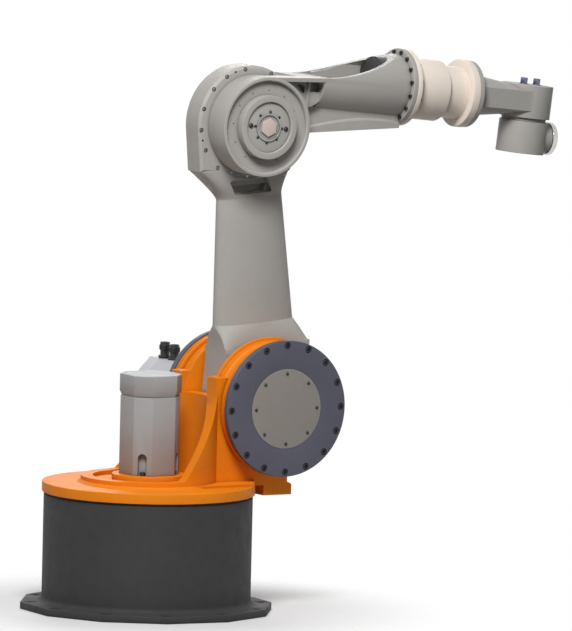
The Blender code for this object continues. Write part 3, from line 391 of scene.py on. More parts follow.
def noise_of(tree, place, scale, detail):
    inputs = {"Scale": scale, "Detail": detail, "Vector": place}
    return add_node(tree, "TexNoise", inputs).outputs["Fac"]


def new_finish(name):
    """A material with its nodes, its shader's inputs and the place on the piece."""
    made = bpy.data.materials.new(name)
    made.use_nodes = True
    tree = made.node_tree
    place = add_node(tree, "TexCoord").outputs["Object"]
    return made, tree, tree.nodes["Principled BSDF"].inputs, place


def tinted(tree, colour, shade):
    inputs = {"Factor": 1.0, "A": (*colour, 1), "B": shade}
    return add_node(tree, "Mix", inputs, data_type="RGBA", blend_type="MULTIPLY").outputs["Result"]


def soft_edges(tree, radius):
    return add_node(tree, "Bevel", {"Radius": radius}, samples=4).outputs["Normal"]


def bump(tree, height, strength, distance, over=None):
    inputs = {"Height": height, "Strength": strength, "Distance": distance}
    if over is not None:
        inputs["Normal"] = over
    return add_node(tree, "Bump", inputs).outputs["Normal"]


SATIN = 0.3
COAT_EDGE = 0.0018
CORNER_SHADE_REACH = 0.022
MOULD_WAVES = 0.35
SPRAY_SKIN = 0.25


def sprayed(name, colour, roughness, tone=0.06, edge_wear_and_highlight=1.5):
    """Enamel sprayed on a casting: its tone drifts a little, painted shade darkens the
    corners, the edges are paler, partly a thin worn coat and partly a painted highlight,
    and it has the fine skin of a spray gun over the slight waviness of the sand mould."""
    made, tree, shader, place = new_finish(name)
    shader["Specular IOR Level"].default_value = SATIN

    drift = spread(tree, noise_of(tree, place, 3.1, 5.0), 1 - tone, 1 + tone)
    speckle = spread(tree, noise_of(tree, place, 60.0, 2.0), 1 - tone / 3, 1 + tone / 3)
    # Painted shade: ambient occlusion darkens the colour in corners, creases and seams, down to
    # half.
    corner = add_node(tree, "AmbientOcclusion", {"Distance": CORNER_SHADE_REACH}, samples=4)
    painted_corner_shade = spread(tree, corner.outputs["AO"], 0.5, 1.0, 0.15, 0.85)
    shade = combined(tree, "MULTIPLY", combined(tree, "MULTIPLY", drift, speckle), painted_corner_shade)

    soft = soft_edges(tree, COAT_EDGE)
    flat = add_node(tree, "NewGeometry").outputs["Normal"]
    along = add_node(tree, "VectorMath", {0: soft, 1: flat}, operation="DOT_PRODUCT")
    # Paler edges where the bevel normal leaves the face: partly a thin worn coat in patches, partly
    # a painted highlight along every edge.
    rim = spread(tree, along.outputs["Value"], 1.0, 0.0, 0.90, 0.995)
    patchy = spread(tree, noise_of(tree, place, 45.0, 4.0), 0.15, 1.0, 0.35, 0.65)
    thin = combined(tree, "MULTIPLY", rim, patchy)
    shade = combined(tree, "MULTIPLY", shade, spread(tree, thin, 1.0, edge_wear_and_highlight, 0.0, 1.0))
    tree.links.new(tinted(tree, colour, shade), shader["Base Color"])

    gloss = noise_of(tree, place, 22.0, 4.0)
    tree.links.new(spread(tree, gloss, roughness - 0.07, roughness + 0.07), shader["Roughness"])
    waves = bump(tree, noise_of(tree, place, 38.0, 3.0), MOULD_WAVES, 0.0009, soft)
    peel = bump(tree, noise_of(tree, place, 420.0, 2.0), SPRAY_SKIN, 0.0003, waves)
    tree.links.new(peel, shader["Normal"])
    return made


BASE_PAINT = sprayed("dark_grey_enamel", (0.036, 0.036, 0.037), 0.72, edge_wear_and_highlight=1.9)

hollow = arc(DRUM_RADIUS + DRUM_HOLLOW, FOOT_HEIGHT + DRUM_HOLLOW, DRUM_HOLLOW, 180, 270, 8)
drum = lathe(
    "base",
    [
        (0, PIT_FLOOR), (PIT_RADIUS, PIT_FLOOR), (PIT_RADIUS, BEARING_FLOOR),
        (BEARING_SEAT, BEARING_FLOOR), (BEARING_SEAT, DRUM_HEIGHT),
        (DRUM_RADIUS, DRUM_HEIGHT, 0.003), *[(x, y, 0) for x, y in hollow],
        (DRUM_RADIUS + DRUM_HOLLOW, FOOT_HEIGHT / 2, 0), (0, FOOT_HEIGHT / 2),
    ],
    UPRIGHT,
)
foot_angles = [FOOT_TURN + 2 * math.pi * i / FOOT_CORNERS for i in range(FOOT_CORNERS)]
foot_line = [
    (FOOT_RADIUS * math.cos(angle), FOOT_RADIUS * math.sin(angle)) for angle in foot_angles
]
join(drum, slab("foot", foot_line, 0, FOOT_HEIGHT, UPRIGHT, 0.0022))
for angle in foot_angles:
    bore, spot_face = (
        round_hole("anchor_hole", radius, low, FOOT_HEIGHT + BY, UPRIGHT, ANCHOR_RING, angle)
        for radius, low in ((ANCHOR_BORE, -BY), (SPOT_FACE, FOOT_HEIGHT - SPOT_FACE_DEPTH))
    )
    cut(drum, bore, spot_face)
paint(drum, BASE_PAINT)
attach(drum, "base")
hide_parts("base_casting")

# The A1 bearing, its gear unit and the pinion, all of steel, lie in the base. They and
# the other hidden drive parts keep their plain solids, with a turned finish.
def turned_steel(name, colour, roughness, rings=260.0):
    """Steel off the lathe: fine rings in the gloss, and a little oil staining."""
    made, tree, shader, place = new_finish(name)
    shader["Metallic"].default_value = 1.0
    stain = spread(tree, noise_of(tree, place, 14.0, 5.0), 0.82, 1.08)
    tree.links.new(tinted(tree, colour, stain), shader["Base Color"])
    mark = noise_of(tree, place, rings, 2.0)
    tree.links.new(spread(tree, mark, roughness - 0.08, roughness + 0.1), shader["Roughness"])
    groove = bump(tree, mark, 0.15, 0.0002, soft_edges(tree, 0.0008))
    tree.links.new(groove, shader["Normal"])
    return made


MACHINED = turned_steel("machined_steel", (0.50, 0.50, 0.51), 0.34)
for node in (
    "a1_bearing_outer_ring", "a1_bearing_inner_ring", "a1_gearbox", "a1_output_flange",
    "a1_pinion_shaft", "a2_gearbox_near", "a2_gearbox_far", "a2_output_flange_near",
    "a2_output_flange_far", "a3_gearbox", "a3_output_shaft",
    "a4_output_flange", "a5_drive_tube", "a6_drive_shaft", "a5_pivot_shaft",
    "a6_output_shaft",
):
    paint(frame["nodes"][node], MACHINED)

# The seal ring in the gap between base and carousel is a moulded rubber lip,
# pressed in. It has a dull black skin with some dust on it.
def moulded(name, colour, roughness, grain=300.0, depth=0.3):
    """Rubber or plastic with the grain of its mould."""
    made, tree, shader, place = new_finish(name)
    dust = spread(tree, noise_of(tree, place, 9.0, 5.0), 0.8, 1.35)
    tree.links.new(tinted(tree, colour, dust), shader["Base Color"])
    skin = noise_of(tree, place, grain, 3.0)
    tree.links.new(spread(tree, skin, roughness - 0.06, roughness + 0.06), shader["Roughness"])
    tree.links.new(bump(tree, skin, depth, 0.0004), shader["Normal"])
    return made


paint(frame["nodes"]["base_seal_ring"], moulded("seal_rubber", (0.016, 0.016, 0.017), 0.7))

# The carousel: one casting sprayed orange. A disc closes the base, a cut-away column
# wraps the A1 motor, and two ears carry the housings of the A2 gear units.
SEAL_GAP = 0.009
DISC_RADIUS = 0.426
DISC_BOTTOM = DRUM_HEIGHT + SEAL_GAP
DISC_TOP = DISC_BOTTOM + 0.040
BOSS_RADIUS = 0.288
BOSS_CHAMFER = 0.014
PLATFORM_TOP = DISC_TOP + 0.011
COLUMN_RADIUS = 0.272
COLUMN_WALL = 0.048
COLUMN_RIM = PLATFORM_TOP + 0.016
COLUMN_TOP = 0.939
COLUMN_BACK = 0.010
COLUMN_FRONT = 0.212
CROSS_WALL_TOP = 0.856
PINION_BORE = 0.060
EAR_INNER = 0.100
EAR_OUTER = 0.176
EAR_BACK = 0.202
EAR_FRONT = 0.540
EAR_TOE = 0.020
EAR_TOE_HEIGHT = 0.042
EAR_DROP = 0.011
LIP_RADIUS = 0.2736
LIP_WIDTH = 0.014
NECK_RADIUS = 0.255
NECK_END = 0.184
NECK_STEP = 0.150
STEP_RISE = 0.006
GROOVE_RADIUS = 0.248
GROOVE_WIDTH = 0.004
COLLAR_RADIUS = 0.268
COLLAR_END = 0.220
COLLAR_GROOVE = 0.202
GEAR_BORE = 0.2003
OUTPUT_BORE = 0.150
GEAR_SEAT = 0.116
FIT = 0.0003  # between seated pieces, and between faces that would fall together
ORANGE = sprayed("orange_enamel", (0.82, 0.225, 0.001), 0.58, 0.05, edge_wear_and_highlight=1.12)


def between(low, high, share):
    return low + (high - low) * share


def rectangle(left, right, low, high):
    return [(left, low), (right, low), (right, high), (left, high)]


SIDEWAYS = seat(Vector((0, 0, 0)), -SIDE, UP)
carousel = lathe(
    "carousel",
    [
        (0, PLATFORM_TOP), (BOSS_RADIUS - BOSS_CHAMFER, PLATFORM_TOP),
        (BOSS_RADIUS, DISC_TOP, 0.001), (DISC_RADIUS, DISC_TOP, 0.003),
        (DISC_RADIUS, DISC_BOTTOM, 0.002), (0, DISC_BOTTOM),
    ],
    UPRIGHT,
)
column = disc("column", COLUMN_RADIUS, DISC_TOP - BY, COLUMN_TOP, UPRIGHT,
              turn=math.pi / ROUND_STEPS, bore=COLUMN_RADIUS - COLUMN_WALL)
sweep = [
    (
        between(COLUMN_BACK, COLUMN_FRONT, math.sin(math.pi / 2 * step / 30)),
        between(COLUMN_RIM, COLUMN_TOP, (step / 30) ** 0.9),
    )
    for step in range(1, 31)
]
s_cut = slab(
    "s_cut",
    [
        (-COLUMN_RADIUS - BY, COLUMN_RIM), (COLUMN_BACK - 4 * BY, COLUMN_RIM),
        (COLUMN_BACK - 0.7 * BY, COLUMN_RIM + BY / 4), *sweep,
        (COLUMN_FRONT, COLUMN_TOP + BY), (-COLUMN_RADIUS - BY, COLUMN_TOP + BY),
    ],
    -COLUMN_RADIUS - BY, COLUMN_RADIUS + BY, SIDEWAYS,
)
gate_half = EAR_INNER + 0.001
gate = slab("gate", rectangle(COLUMN_BACK, COLUMN_RADIUS + BY, -gate_half, gate_half),
            CROSS_WALL_TOP, COLUMN_TOP + BY, UPRIGHT)
cut(column, s_cut, gate)
platform_reach = DISC_RADIUS - 0.002
platform_angle = math.degrees(math.asin(COLUMN_RADIUS / platform_reach))
platform = slab(
    "platform",
    [
        (COLUMN_BACK, COLUMN_RADIUS), (COLUMN_BACK, -COLUMN_RADIUS),
        *arc(0, 0, platform_reach, -platform_angle, platform_angle, 40),
    ],
    DISC_TOP - BY, PLATFORM_TOP - FIT, UPRIGHT,
)
join(carousel, column, platform)
cut(carousel, round_hole("pinion_bore", PINION_BORE, DISC_BOTTOM - BY, PLATFORM_TOP + BY, UPRIGHT))
ear_top = COLUMN_TOP - 0.002
ear_foot = DISC_BOTTOM - EAR_DROP
ear_outline = [
    (EAR_BACK, DISC_TOP - BY), (DISC_RADIUS + BY / 2, DISC_TOP - BY),
    (DISC_RADIUS + BY / 2, ear_foot), (EAR_FRONT + EAR_TOE, ear_foot),
    (EAR_FRONT + EAR_TOE, ear_foot + EAR_TOE_HEIGHT), (EAR_FRONT, ear_foot + EAR_TOE_HEIGHT + BY),
    (EAR_FRONT, SHOULDER.z), (SHOULDER.x, SHOULDER.z + NECK_RADIUS / 2),
    (SHOULDER.x - NECK_RADIUS * 0.7, SHOULDER.z + NECK_RADIUS * 0.6),
    (SHOULDER.x - math.sqrt(NECK_RADIUS**2 - (ear_top - SHOULDER.z) ** 2) + BY, ear_top),
    (EAR_BACK, ear_top),
]
ear_half = (EAR_OUTER - EAR_INNER) / 2 - FIT
for place, sign in ((SHOULDER_NEAR, -1), (SHOULDER_FAR, 1)):
    middle = seat(Vector((0, sign * (EAR_INNER + EAR_OUTER) / 2, 0)), -SIDE, UP)
    ear = slab("ear", ear_outline, -ear_half, ear_half, middle)
    housing = lathe(
        "housing",
        [
            (0, COLLAR_END - FIT), (COLLAR_RADIUS, COLLAR_END - FIT, 0.0008),
            (COLLAR_RADIUS, COLLAR_GROOVE + 0.003, 0),
            (COLLAR_RADIUS - 0.003, COLLAR_GROOVE + 0.003, 0),
            (COLLAR_RADIUS - 0.003, COLLAR_GROOVE, 0), (COLLAR_RADIUS, COLLAR_GROOVE, 0),
            (COLLAR_RADIUS, NECK_END + GROOVE_WIDTH, 0.0006),
            (GROOVE_RADIUS, NECK_END + GROOVE_WIDTH, 0), (GROOVE_RADIUS, NECK_END, 0),
            (NECK_RADIUS, NECK_END, 0.001), (NECK_RADIUS, NECK_STEP, 0.001),
            (NECK_RADIUS + STEP_RISE, NECK_STEP - STEP_RISE, 0.001),
            (NECK_RADIUS + STEP_RISE, EAR_INNER + LIP_WIDTH, 0.002),
            (LIP_RADIUS, EAR_INNER + LIP_WIDTH, 0.002), (LIP_RADIUS, EAR_INNER, 0.002),
            (0, EAR_INNER),
        ],
        place,
    )
    bore = lathe(
        "bore",
        [
            (0, COLLAR_END + BY), (GEAR_BORE, COLLAR_END + BY), (GEAR_BORE, GEAR_SEAT),
            (OUTPUT_BORE, GEAR_SEAT), (OUTPUT_BORE, EAR_INNER - BY), (0, EAR_INNER - BY),
        ],
        place, 0,
    )
    join(ear, housing)
    cut(ear, bore)
    join(carousel, ear)
paint(carousel, ORANGE)
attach(carousel, "carousel")
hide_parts("carousel_casting")

# The A1 motor: a servo motor with an eight-sided die-cast body, grey enamelled. It
# stands on a round orange foot, held by screws that are reached through four slots.
MOTOR_HALF = 0.108
MOTOR_CHAMFER = 0.055
MOTOR_CORNER = math.sqrt(2) * (MOTOR_HALF - MOTOR_CHAMFER / 2)
CAP_FLARE = 0.003
CAP_TAPER = 0.019
SLOT_WIDTH = 0.037
SLOT_HEIGHT = 0.088
SLOT_DEPTH = 0.022
A1_FLANGE = 0.148
A1_LOW = PLATFORM_TOP + 0.025
A1_SPLIT = 0.860
A1_TOP = 0.946
MOTOR_PAINT = sprayed("motor_grey_enamel", (0.36, 0.36, 0.362), 0.55, 0.04, edge_wear_and_highlight=1.2)


def octagon(half, chamfer, edge=0.003):
    """A square with its corners cut off, each new corner slightly rounded."""
    flat = half - chamfer
    corners = [
        (half, -flat), (half, flat), (flat, half), (-flat, half),
        (-half, flat), (-half, -flat), (-flat, -half), (flat, -half),
    ]
    return [tuple(point) for point in rounded(corners, edge, 2, loop=True)]


def motor_case(name, levels, chamfer, place):
    """An eight-sided case with its half width at each height."""
    sections = [[(x, y, z) for x, y in octagon(half, chamfer)] for z, half in levels]
    return loft(name, sections, place, 25)


def servo_motor(name, place, low, split, high):
    """The body with its four slots, and the cap over its brake and resolver."""
    body_line = octagon(MOTOR_HALF, MOTOR_CHAMFER)
    body = slab(f"{name}_body", body_line, low, split - 0.0005, place, 0.0012)
    half = SLOT_WIDTH / 2
    outline = [(-half, -BY), (half, -BY), *arc(0, SLOT_HEIGHT - half, half, 0, 180, 16)]
    for angle in (135, 225, 315, 405):
        facing = Matrix.Translation((0, 0, low)) @ Matrix.Rotation(math.radians(angle), 4, "Z")
        cut(body, slab("slot", outline, MOTOR_CORNER - SLOT_DEPTH, MOTOR_CORNER + BY,
                       place @ facing @ Matrix.Rotation(math.pi / 2, 4, "X")))
    narrow, wide = MOTOR_HALF - CAP_FLARE, MOTOR_HALF + CAP_FLARE
    levels = [
        (split, narrow - 0.001), (split + 0.001, narrow), (split + CAP_TAPER, wide),
        (high - 0.003, wide), (high - 0.0009, wide - 0.0009), (high, wide - 0.003),
    ]
    return body, motor_case(f"{name}_cap", levels, MOTOR_CHAMFER, place)


a1_flange = disc("a1_flange", A1_FLANGE, PLATFORM_TOP + FIT, A1_LOW, UPRIGHT, 0.002, 0.002)
a1_body, a1_cap = servo_motor("a1_motor_shell", UPRIGHT, A1_LOW + FIT, A1_SPLIT, A1_TOP)
for piece, node, coat, slot in (
    (a1_flange, "a1_motor_flange", ORANGE, "orange"),
    (a1_body, "a1_motor_body", MOTOR_PAINT, "motor_grey"),
    (a1_cap, "a1_motor_cap", MOTOR_PAINT, "motor_grey"),
):
    paint(piece, coat)
    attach(piece, "carousel")
    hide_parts(node)

# Four cap screws hold the A1 motor, one at the foot of each slot. They are alloy
# steel with a black oxide finish, screwed down through the flange.
MOTOR_SCREW_RADIUS = 0.0105
MOTOR_SCREW_HEIGHT = 0.014
MOTOR_SCREW_SOCKET = 0.012
SOCKET_DEPTH = 0.008
BLACK_OXIDE = turned_steel("black_oxide_steel", (0.055, 0.056, 0.062), 0.42, 400.0)


def corner_radius(across):
    """From a hexagon's width across its flats to the radius of its corners."""
    return across / 2 / math.cos(math.pi / 6)


def cap_screw(radius, height, socket, depth):
    """A socket-head cap screw: a turned head with a six-sided hole."""
    head = disc("screw", radius, 0, height, UPRIGHT, 0.0012, steps=32)
    cut(head, disc("socket", corner_radius(socket), height - depth, height + BY, UPRIGHT, steps=6))
    return head


def at_angles(place, angles, radius, height, spin=0.0):
    """Places on a circle, at angles in degrees from the place's +X."""
    offset = Matrix.Translation((radius, 0, height)) @ Matrix.Rotation(spin, 4, "Z")
    return [place @ Matrix.Rotation(math.radians(angle), 4, "Z") @ offset for angle in angles]


def evenly(count, first=0.0):
    return [first + 360 * i / count for i in range(count)]


def copies(name, pattern, places, finish, body):
    """One small piece copied to many places, as one object that rides on the body."""
    form = bmesh.new()
    for place in places:
        start = len(form.verts)
        form.from_mesh(pattern.data)
        form.verts.ensure_lookup_table()
        bmesh.ops.transform(form, matrix=place, verts=form.verts[start:])
    bpy.data.objects.remove(pattern)
    made = add_object(name, write_form(form, bpy.data.meshes.new(name)))
    paint(made, finish)
    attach(made, body)


def motor_screws(name, place, low):
    screw = cap_screw(MOTOR_SCREW_RADIUS, MOTOR_SCREW_HEIGHT, MOTOR_SCREW_SOCKET, SOCKET_DEPTH)
    places = at_angles(place, evenly(4, 45), MOTOR_CORNER - SLOT_DEPTH / 2, low)
    copies(name, screw, places, BLACK_OXIDE, "carousel")


motor_screws("a1_motor_screws", UPRIGHT, A1_LOW + FIT)

# Each A2 gear unit is closed by a machined steel flange, sprayed slate. Sixteen
# socket-head cap screws, sunk in counterbores, hold it to the ear's housing.
GEAR_FLANGE_END = COLLAR_END + 0.028
FLANGE_RADIUS = 0.2736
COVER_RADIUS = 0.160
COVER_SEAT = GEAR_FLANGE_END - 0.0078
CAP_SCREWS = evenly(16, 90)
CAP_SCREW_RING = 0.254
CAP_SCREW_HEAD = 0.012
CAP_SCREW_SOCKET = 0.014
CAP_SCREW_SPIN = 0.3
COUNTERBORE = 0.0145
COUNTERBORE_FLOOR = GEAR_FLANGE_END - 0.014
SLATE = sprayed("slate_enamel", (0.098, 0.098, 0.132), 0.56, 0.05, edge_wear_and_highlight=1.5)
for side, place in (("near", SHOULDER_NEAR), ("far", SHOULDER_FAR)):
    gear_flange = lathe(
        f"gear_flange_{side}",
        [
            (0, COVER_SEAT), (COVER_RADIUS + 2 * FIT, COVER_SEAT, 0),
            (COVER_RADIUS + 2 * FIT, GEAR_FLANGE_END, 0.0012),
            (FLANGE_RADIUS, GEAR_FLANGE_END, 0.0025), (FLANGE_RADIUS, COLLAR_END + FIT, 0.0012),
            (0, COLLAR_END + FIT),
        ],
        place,
    )
    hole = (COUNTERBORE, COUNTERBORE_FLOOR, GEAR_FLANGE_END + BY, place, CAP_SCREW_RING)
    for angle in CAP_SCREWS:
        cut(gear_flange, round_hole("counterbore", *hole, math.radians(angle), 28))
    paint(gear_flange, SLATE)
    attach(gear_flange, "carousel")
    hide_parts(f"a2_gear_flange_{side}")
    screw = cap_screw(CAP_SCREW_HEAD, CAP_SCREW_HEAD, CAP_SCREW_SOCKET, SOCKET_DEPTH)
    places = at_angles(place, CAP_SCREWS, CAP_SCREW_RING, COUNTERBORE_FLOOR, CAP_SCREW_SPIN)
    copies(f"gear_flange_screws_{side}", screw, places, BLACK_OXIDE, "carousel")

# The near flange has a round sheet-steel cover let into it, over the space where the
# far side has its motor. Eight small button-head screws hold the cover.
COVER_TOP = COVER_SEAT + 0.009
COVER_SCREW_RING = 0.141
COVER_PAINT = sprayed("cover_enamel", (0.275, 0.253, 0.23), 0.60, 0.05, edge_wear_and_highlight=1.3)
cover = disc("gear_cover", COVER_RADIUS, COVER_SEAT + FIT, COVER_TOP, SHOULDER_NEAR, 0.0018, 0.0006)
paint(cover, COVER_PAINT)
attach(cover, "carousel")
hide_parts("a2_cover_plate")


def button_screw(radius, height, socket):
    """A small domed screw with a six-sided socket."""
    dome = [(radius * 0.5, height, 0.001), (radius * 0.9, height * 0.55, 0.001), (radius, 0)]
    head = lathe("screw", [(0, height), *dome, (0, 0)], UPRIGHT, 0.0005, 24)
    cut(head, disc("socket", corner_radius(socket), height * 0.3, height + BY, UPRIGHT, steps=6))
    return head


places = at_angles(SHOULDER_NEAR, evenly(8, 90), COVER_SCREW_RING, COVER_TOP)
screw = button_screw(0.0068, 0.0042, 0.005)
copies("gear_cover_screws", screw, places, BLACK_OXIDE, "carousel")

# The A2 motor hangs on the far flange by a round adapter. It is the same motor as on
# A1, sprayed a lighter grey, with its cap to the far side.
ADAPTER_RADIUS = 0.150
ADAPTER_END = 0.270
A2_SPLIT = 0.660
A2_END = 0.727
LIGHT_PAINT = sprayed("light_grey_enamel", (0.62, 0.62, 0.65), 0.52, 0.03, edge_wear_and_highlight=1.05)
adapter = disc("a2_adapter", ADAPTER_RADIUS, COVER_SEAT + FIT, ADAPTER_END, SHOULDER_FAR,
               0.002, 0.002)
a2_body, a2_cap = servo_motor("a2_motor_shell", SHOULDER_FAR, ADAPTER_END + FIT, A2_SPLIT, A2_END)
for piece, node in (
    (adapter, "a2_motor_adapter"), (a2_body, "a2_motor_body"), (a2_cap, "a2_motor_cap"),
):
    paint(piece, LIGHT_PAINT)
    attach(piece, "carousel")
    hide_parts(node)
motor_screws("a2_motor_screws", SHOULDER_FAR, ADAPTER_END + FIT)

# Two round plug connectors stand on the A2 motor, for power and for its resolver.
# Each is black moulded plastic: a flange, a ribbed coupling ring and open contacts.
CONNECTOR_RADIUS = 0.026
CONNECTOR_HEIGHT = 0.062
CONNECTOR_LEAN = 0.024
CONNECTOR_FIRST = 0.590
CONNECTOR_PITCH = 0.074
RIB_TURNS = evenly(18)
BLACK_PLASTIC = moulded("connector_plastic", (0.012, 0.012, 0.014), 0.42, 500.0, 0.15)
shell_line = [
    (0, 0.62), (0.60, 0.62, 0), (0.60, 1), (0.76, 1), (0.76, 0.86), (0.84, 0.83),
    (0.84, 0.50), (0.72, 0.46), (0.72, 0.18), (1, 0.15), (1, 0), (0, 0),
]
for step, use in enumerate(("power", "signal")):
    low = MOTOR_HALF + (CAP_FLARE if step else 0) + FIT
    along = CONNECTOR_FIRST + CONNECTOR_PITCH * step
    place = Matrix.Translation((SHOULDER.x - CONNECTOR_LEAN, along, SHOULDER.z + low))
    profile = [(CONNECTOR_RADIUS * r, CONNECTOR_HEIGHT * h, *own) for r, h, *own in shell_line]
    shell = lathe(f"{use}_connector", profile, place, 0.0008, 48)
    paint(shell, BLACK_PLASTIC)
    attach(shell, "carousel")
    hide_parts(f"a2_{use}_connector")
    rib = slab("rib", [(-0.001, -0.0013), (0.0025, -0.0009), (0.0025, 0.0009), (-0.001, 0.0013)],
               CONNECTOR_HEIGHT * 0.53, CONNECTOR_HEIGHT * 0.80, UPRIGHT)
    copies(f"{use}_connector_ribs", rib, at_angles(place, RIB_TURNS, CONNECTOR_RADIUS * 0.80, 0),
           BLACK_PLASTIC, "carousel")
    pin_foot, pin_top = CONNECTOR_HEIGHT * 0.60, CONNECTOR_HEIGHT * 0.88
    pin = disc("pin", 0.0016, pin_foot, pin_top, UPRIGHT, 0.001, steps=12)
    pins = at_angles(place, evenly(6 + 3 * step), CONNECTOR_RADIUS * 0.36, 0)
    copies(f"{use}_connector_pins", pin, pins, MACHINED, "carousel")

# The link arm: one hollow casting in warm grey enamel. Thick cheeks sit between the A2
# output flanges, and an oval neck flares to the D-shaped housing of the A3 gear unit.
LINK_LENGTH = (ELBOW - SHOULDER).length
CHEEK_HALF = 0.080
CHEEK_RADIUS = 0.198
CHEEK_BACK = 0.186
CHEEK_FRONT = 0.222
CHEEK_TOP = 0.240
NECK_START = 0.328
NECK_FINISH = 0.832
NECK_BACK_LOW = 0.177
NECK_FRONT_LOW = 0.187
NECK_BACK_HIGH = 0.138
NECK_FRONT_HIGH = 0.159
NECK_HALF_LOW = 0.066
NECK_HALF_HIGH = 0.058
HOUSING_RADIUS = 0.235
HOUSING_SHIFT = 0.006
HOUSING_HALF = 0.057
HOUSING_SKIRT = 0.171
HOUSING_BACK = 0.239
HOUSING_FRONT = 0.200
HOUSING_FRONT_SKIRT = 0.206
HOUSING_EDGE = 0.010
A3_GEAR_RADIUS = 0.165
WINDOW_TOP = 0.222
WINDOW_LEDGE = 0.246
WINDOW_FOOT = 0.280
WINDOW_DEPTH = 0.024
WINDOW_WELL = 0.046
HUB_RELIEF_RADIUS = 0.217
HUB_RELIEF = 0.0025
LINK_POINTS = 96
WARM_GREY = sprayed("warm_grey_enamel", (0.40, 0.384, 0.360), 0.56, 0.05, edge_wear_and_highlight=1.25)


def link_section(height, back, front, half, squareness):
    """A closed section of the link, from an ellipse (2) to near a rectangle (12)."""
    section = []
    for i in range(LINK_POINTS):
        angle = 2 * math.pi * i / LINK_POINTS
        c, s = math.cos(angle), math.sin(angle)
        out = (abs(c) ** squareness + abs(s) ** squareness) ** (-1 / squareness)
        middle, span = (front - back) / 2, (front + back) / 2
        section.append((middle + span * out * c, half * out * s, height))
    return section


def stretch(shares, *ends, bends=(1, 1, 1, 1)):
    """Sections whose height, back, front, half width and squareness each run from one
    value to another. All but the height follow a power of the share."""
    return [
        link_section(*(between(*pair, share**bend) for pair, bend in zip(ends, (1, *bends))))
        for share in shares
    ]


THROUGH = 0.1
link = slab(
    "link",
    [*arc(0, 0, CHEEK_RADIUS, 180, 360, 60), (CHEEK_FRONT, CHEEK_TOP), (-CHEEK_BACK, CHEEK_TOP)],
    -CHEEK_HALF, CHEEK_HALF, LINK_NEAR, 0.0025,
)
flare_foot = LINK_LENGTH - HOUSING_SKIRT
sections = [
    link_section(CHEEK_TOP - 4 * BY, CHEEK_BACK - 0.0004, CHEEK_FRONT - BY, CHEEK_HALF - FIT, 12),
    link_section(CHEEK_TOP, CHEEK_BACK - 0.0004, CHEEK_FRONT, CHEEK_HALF - FIT, 12),
    *stretch(
        (*[step / 12 for step in range(1, 12)], 0.985, 1),
        (CHEEK_TOP, NECK_START), (CHEEK_BACK, NECK_BACK_LOW), (CHEEK_FRONT, NECK_FRONT_LOW),
        (CHEEK_HALF, NECK_HALF_LOW), (10, 2), bends=(1, 1, 1.5, 0.5),
    ),
    *stretch(
        (0.006, *[step / 8 for step in range(1, 8)], 0.994, 1),
        (NECK_START, NECK_FINISH), (NECK_BACK_LOW, NECK_BACK_HIGH),
        (NECK_FRONT_LOW, NECK_FRONT_HIGH), (NECK_HALF_LOW, NECK_HALF_HIGH), (2, 2),
    ),
    *stretch(
        (0.02, *[step / 14 for step in range(1, 15)]),
        (NECK_FINISH, flare_foot), (NECK_BACK_HIGH, HOUSING_BACK),
        (NECK_FRONT_HIGH, HOUSING_FRONT), (NECK_HALF_HIGH, HOUSING_HALF - FIT), (2, 9),
        bends=(1.3, 2.2, 1, 1.5),
    ),
    link_section(flare_foot + 6 * BY, HOUSING_BACK - BY, HOUSING_FRONT - BY, HOUSING_HALF - FIT, 9),
]
neck = loft("neck", sections, LINK, 24)
head = slab(
    "head",
    [
        *arc(-HOUSING_SHIFT, LINK_LENGTH, HOUSING_RADIUS, -25, 180, 90),
        (-HOUSING_BACK, flare_foot), (-NECK_BACK_HIGH, flare_foot - BY),
        (NECK_FRONT_HIGH - BY, LINK_LENGTH - HOUSING_FRONT_SKIRT),
        (HOUSING_FRONT - 0.024, LINK_LENGTH - HOUSING_FRONT_SKIRT),
        (HOUSING_FRONT - 0.003, flare_foot),
    ],
    -HOUSING_HALF, HOUSING_HALF, LINK_NEAR, HOUSING_EDGE, True,
)
join(link, neck, head)
back_line = [
    (-0.1955, 0.060), (-0.1908, 0.085), (-0.1865, 0.110), (-0.1815, 0.140), (-0.1762, 0.180),
    (-0.1722, 0.220), (-0.1712, 0.250), (-0.1720, 0.275), (-0.1742, 0.300), (-0.1775, 0.327),
]
back_cut = [(-0.26, back_line[0][1]), *back_line, (-0.26, back_line[-1][1])]
cut(link, slab("back_cut", back_cut, -THROUGH, THROUGH, LINK_NEAR))
gear_hole = round_hole("gear_hole", A3_GEAR_RADIUS, -THROUGH, THROUGH, LINK_HEAD_NEAR, steps=96)
foot, top, ledge = (LINK_LENGTH - drop for drop in (WINDOW_FOOT, WINDOW_TOP, WINDOW_LEDGE))
window_line = rounded([(-0.082, foot), (0.088, foot), (0.068, top), (-0.108, top)], 0.006, 4, True)
window = slab("window", window_line, HOUSING_HALF - WINDOW_DEPTH, HOUSING_HALF + BY, LINK_NEAR)
well_line = [(-0.076, foot + 0.004), (0.060, foot + 0.004), (0.072, ledge), (-0.092, ledge)]
well = slab("well", well_line, HOUSING_HALF - WINDOW_WELL, HOUSING_HALF, LINK_NEAR)
hub_relief = slab("hub_relief", arc(0, LINK_LENGTH, HUB_RELIEF_RADIUS, 234, 279, 24),
                  HOUSING_HALF - HUB_RELIEF, HOUSING_HALF + BY, LINK_NEAR)
cut(link, gear_hole, window)
cut(link, well, hub_relief)
paint(link, WARM_GREY)
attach(link, "link")
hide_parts("link_arm")

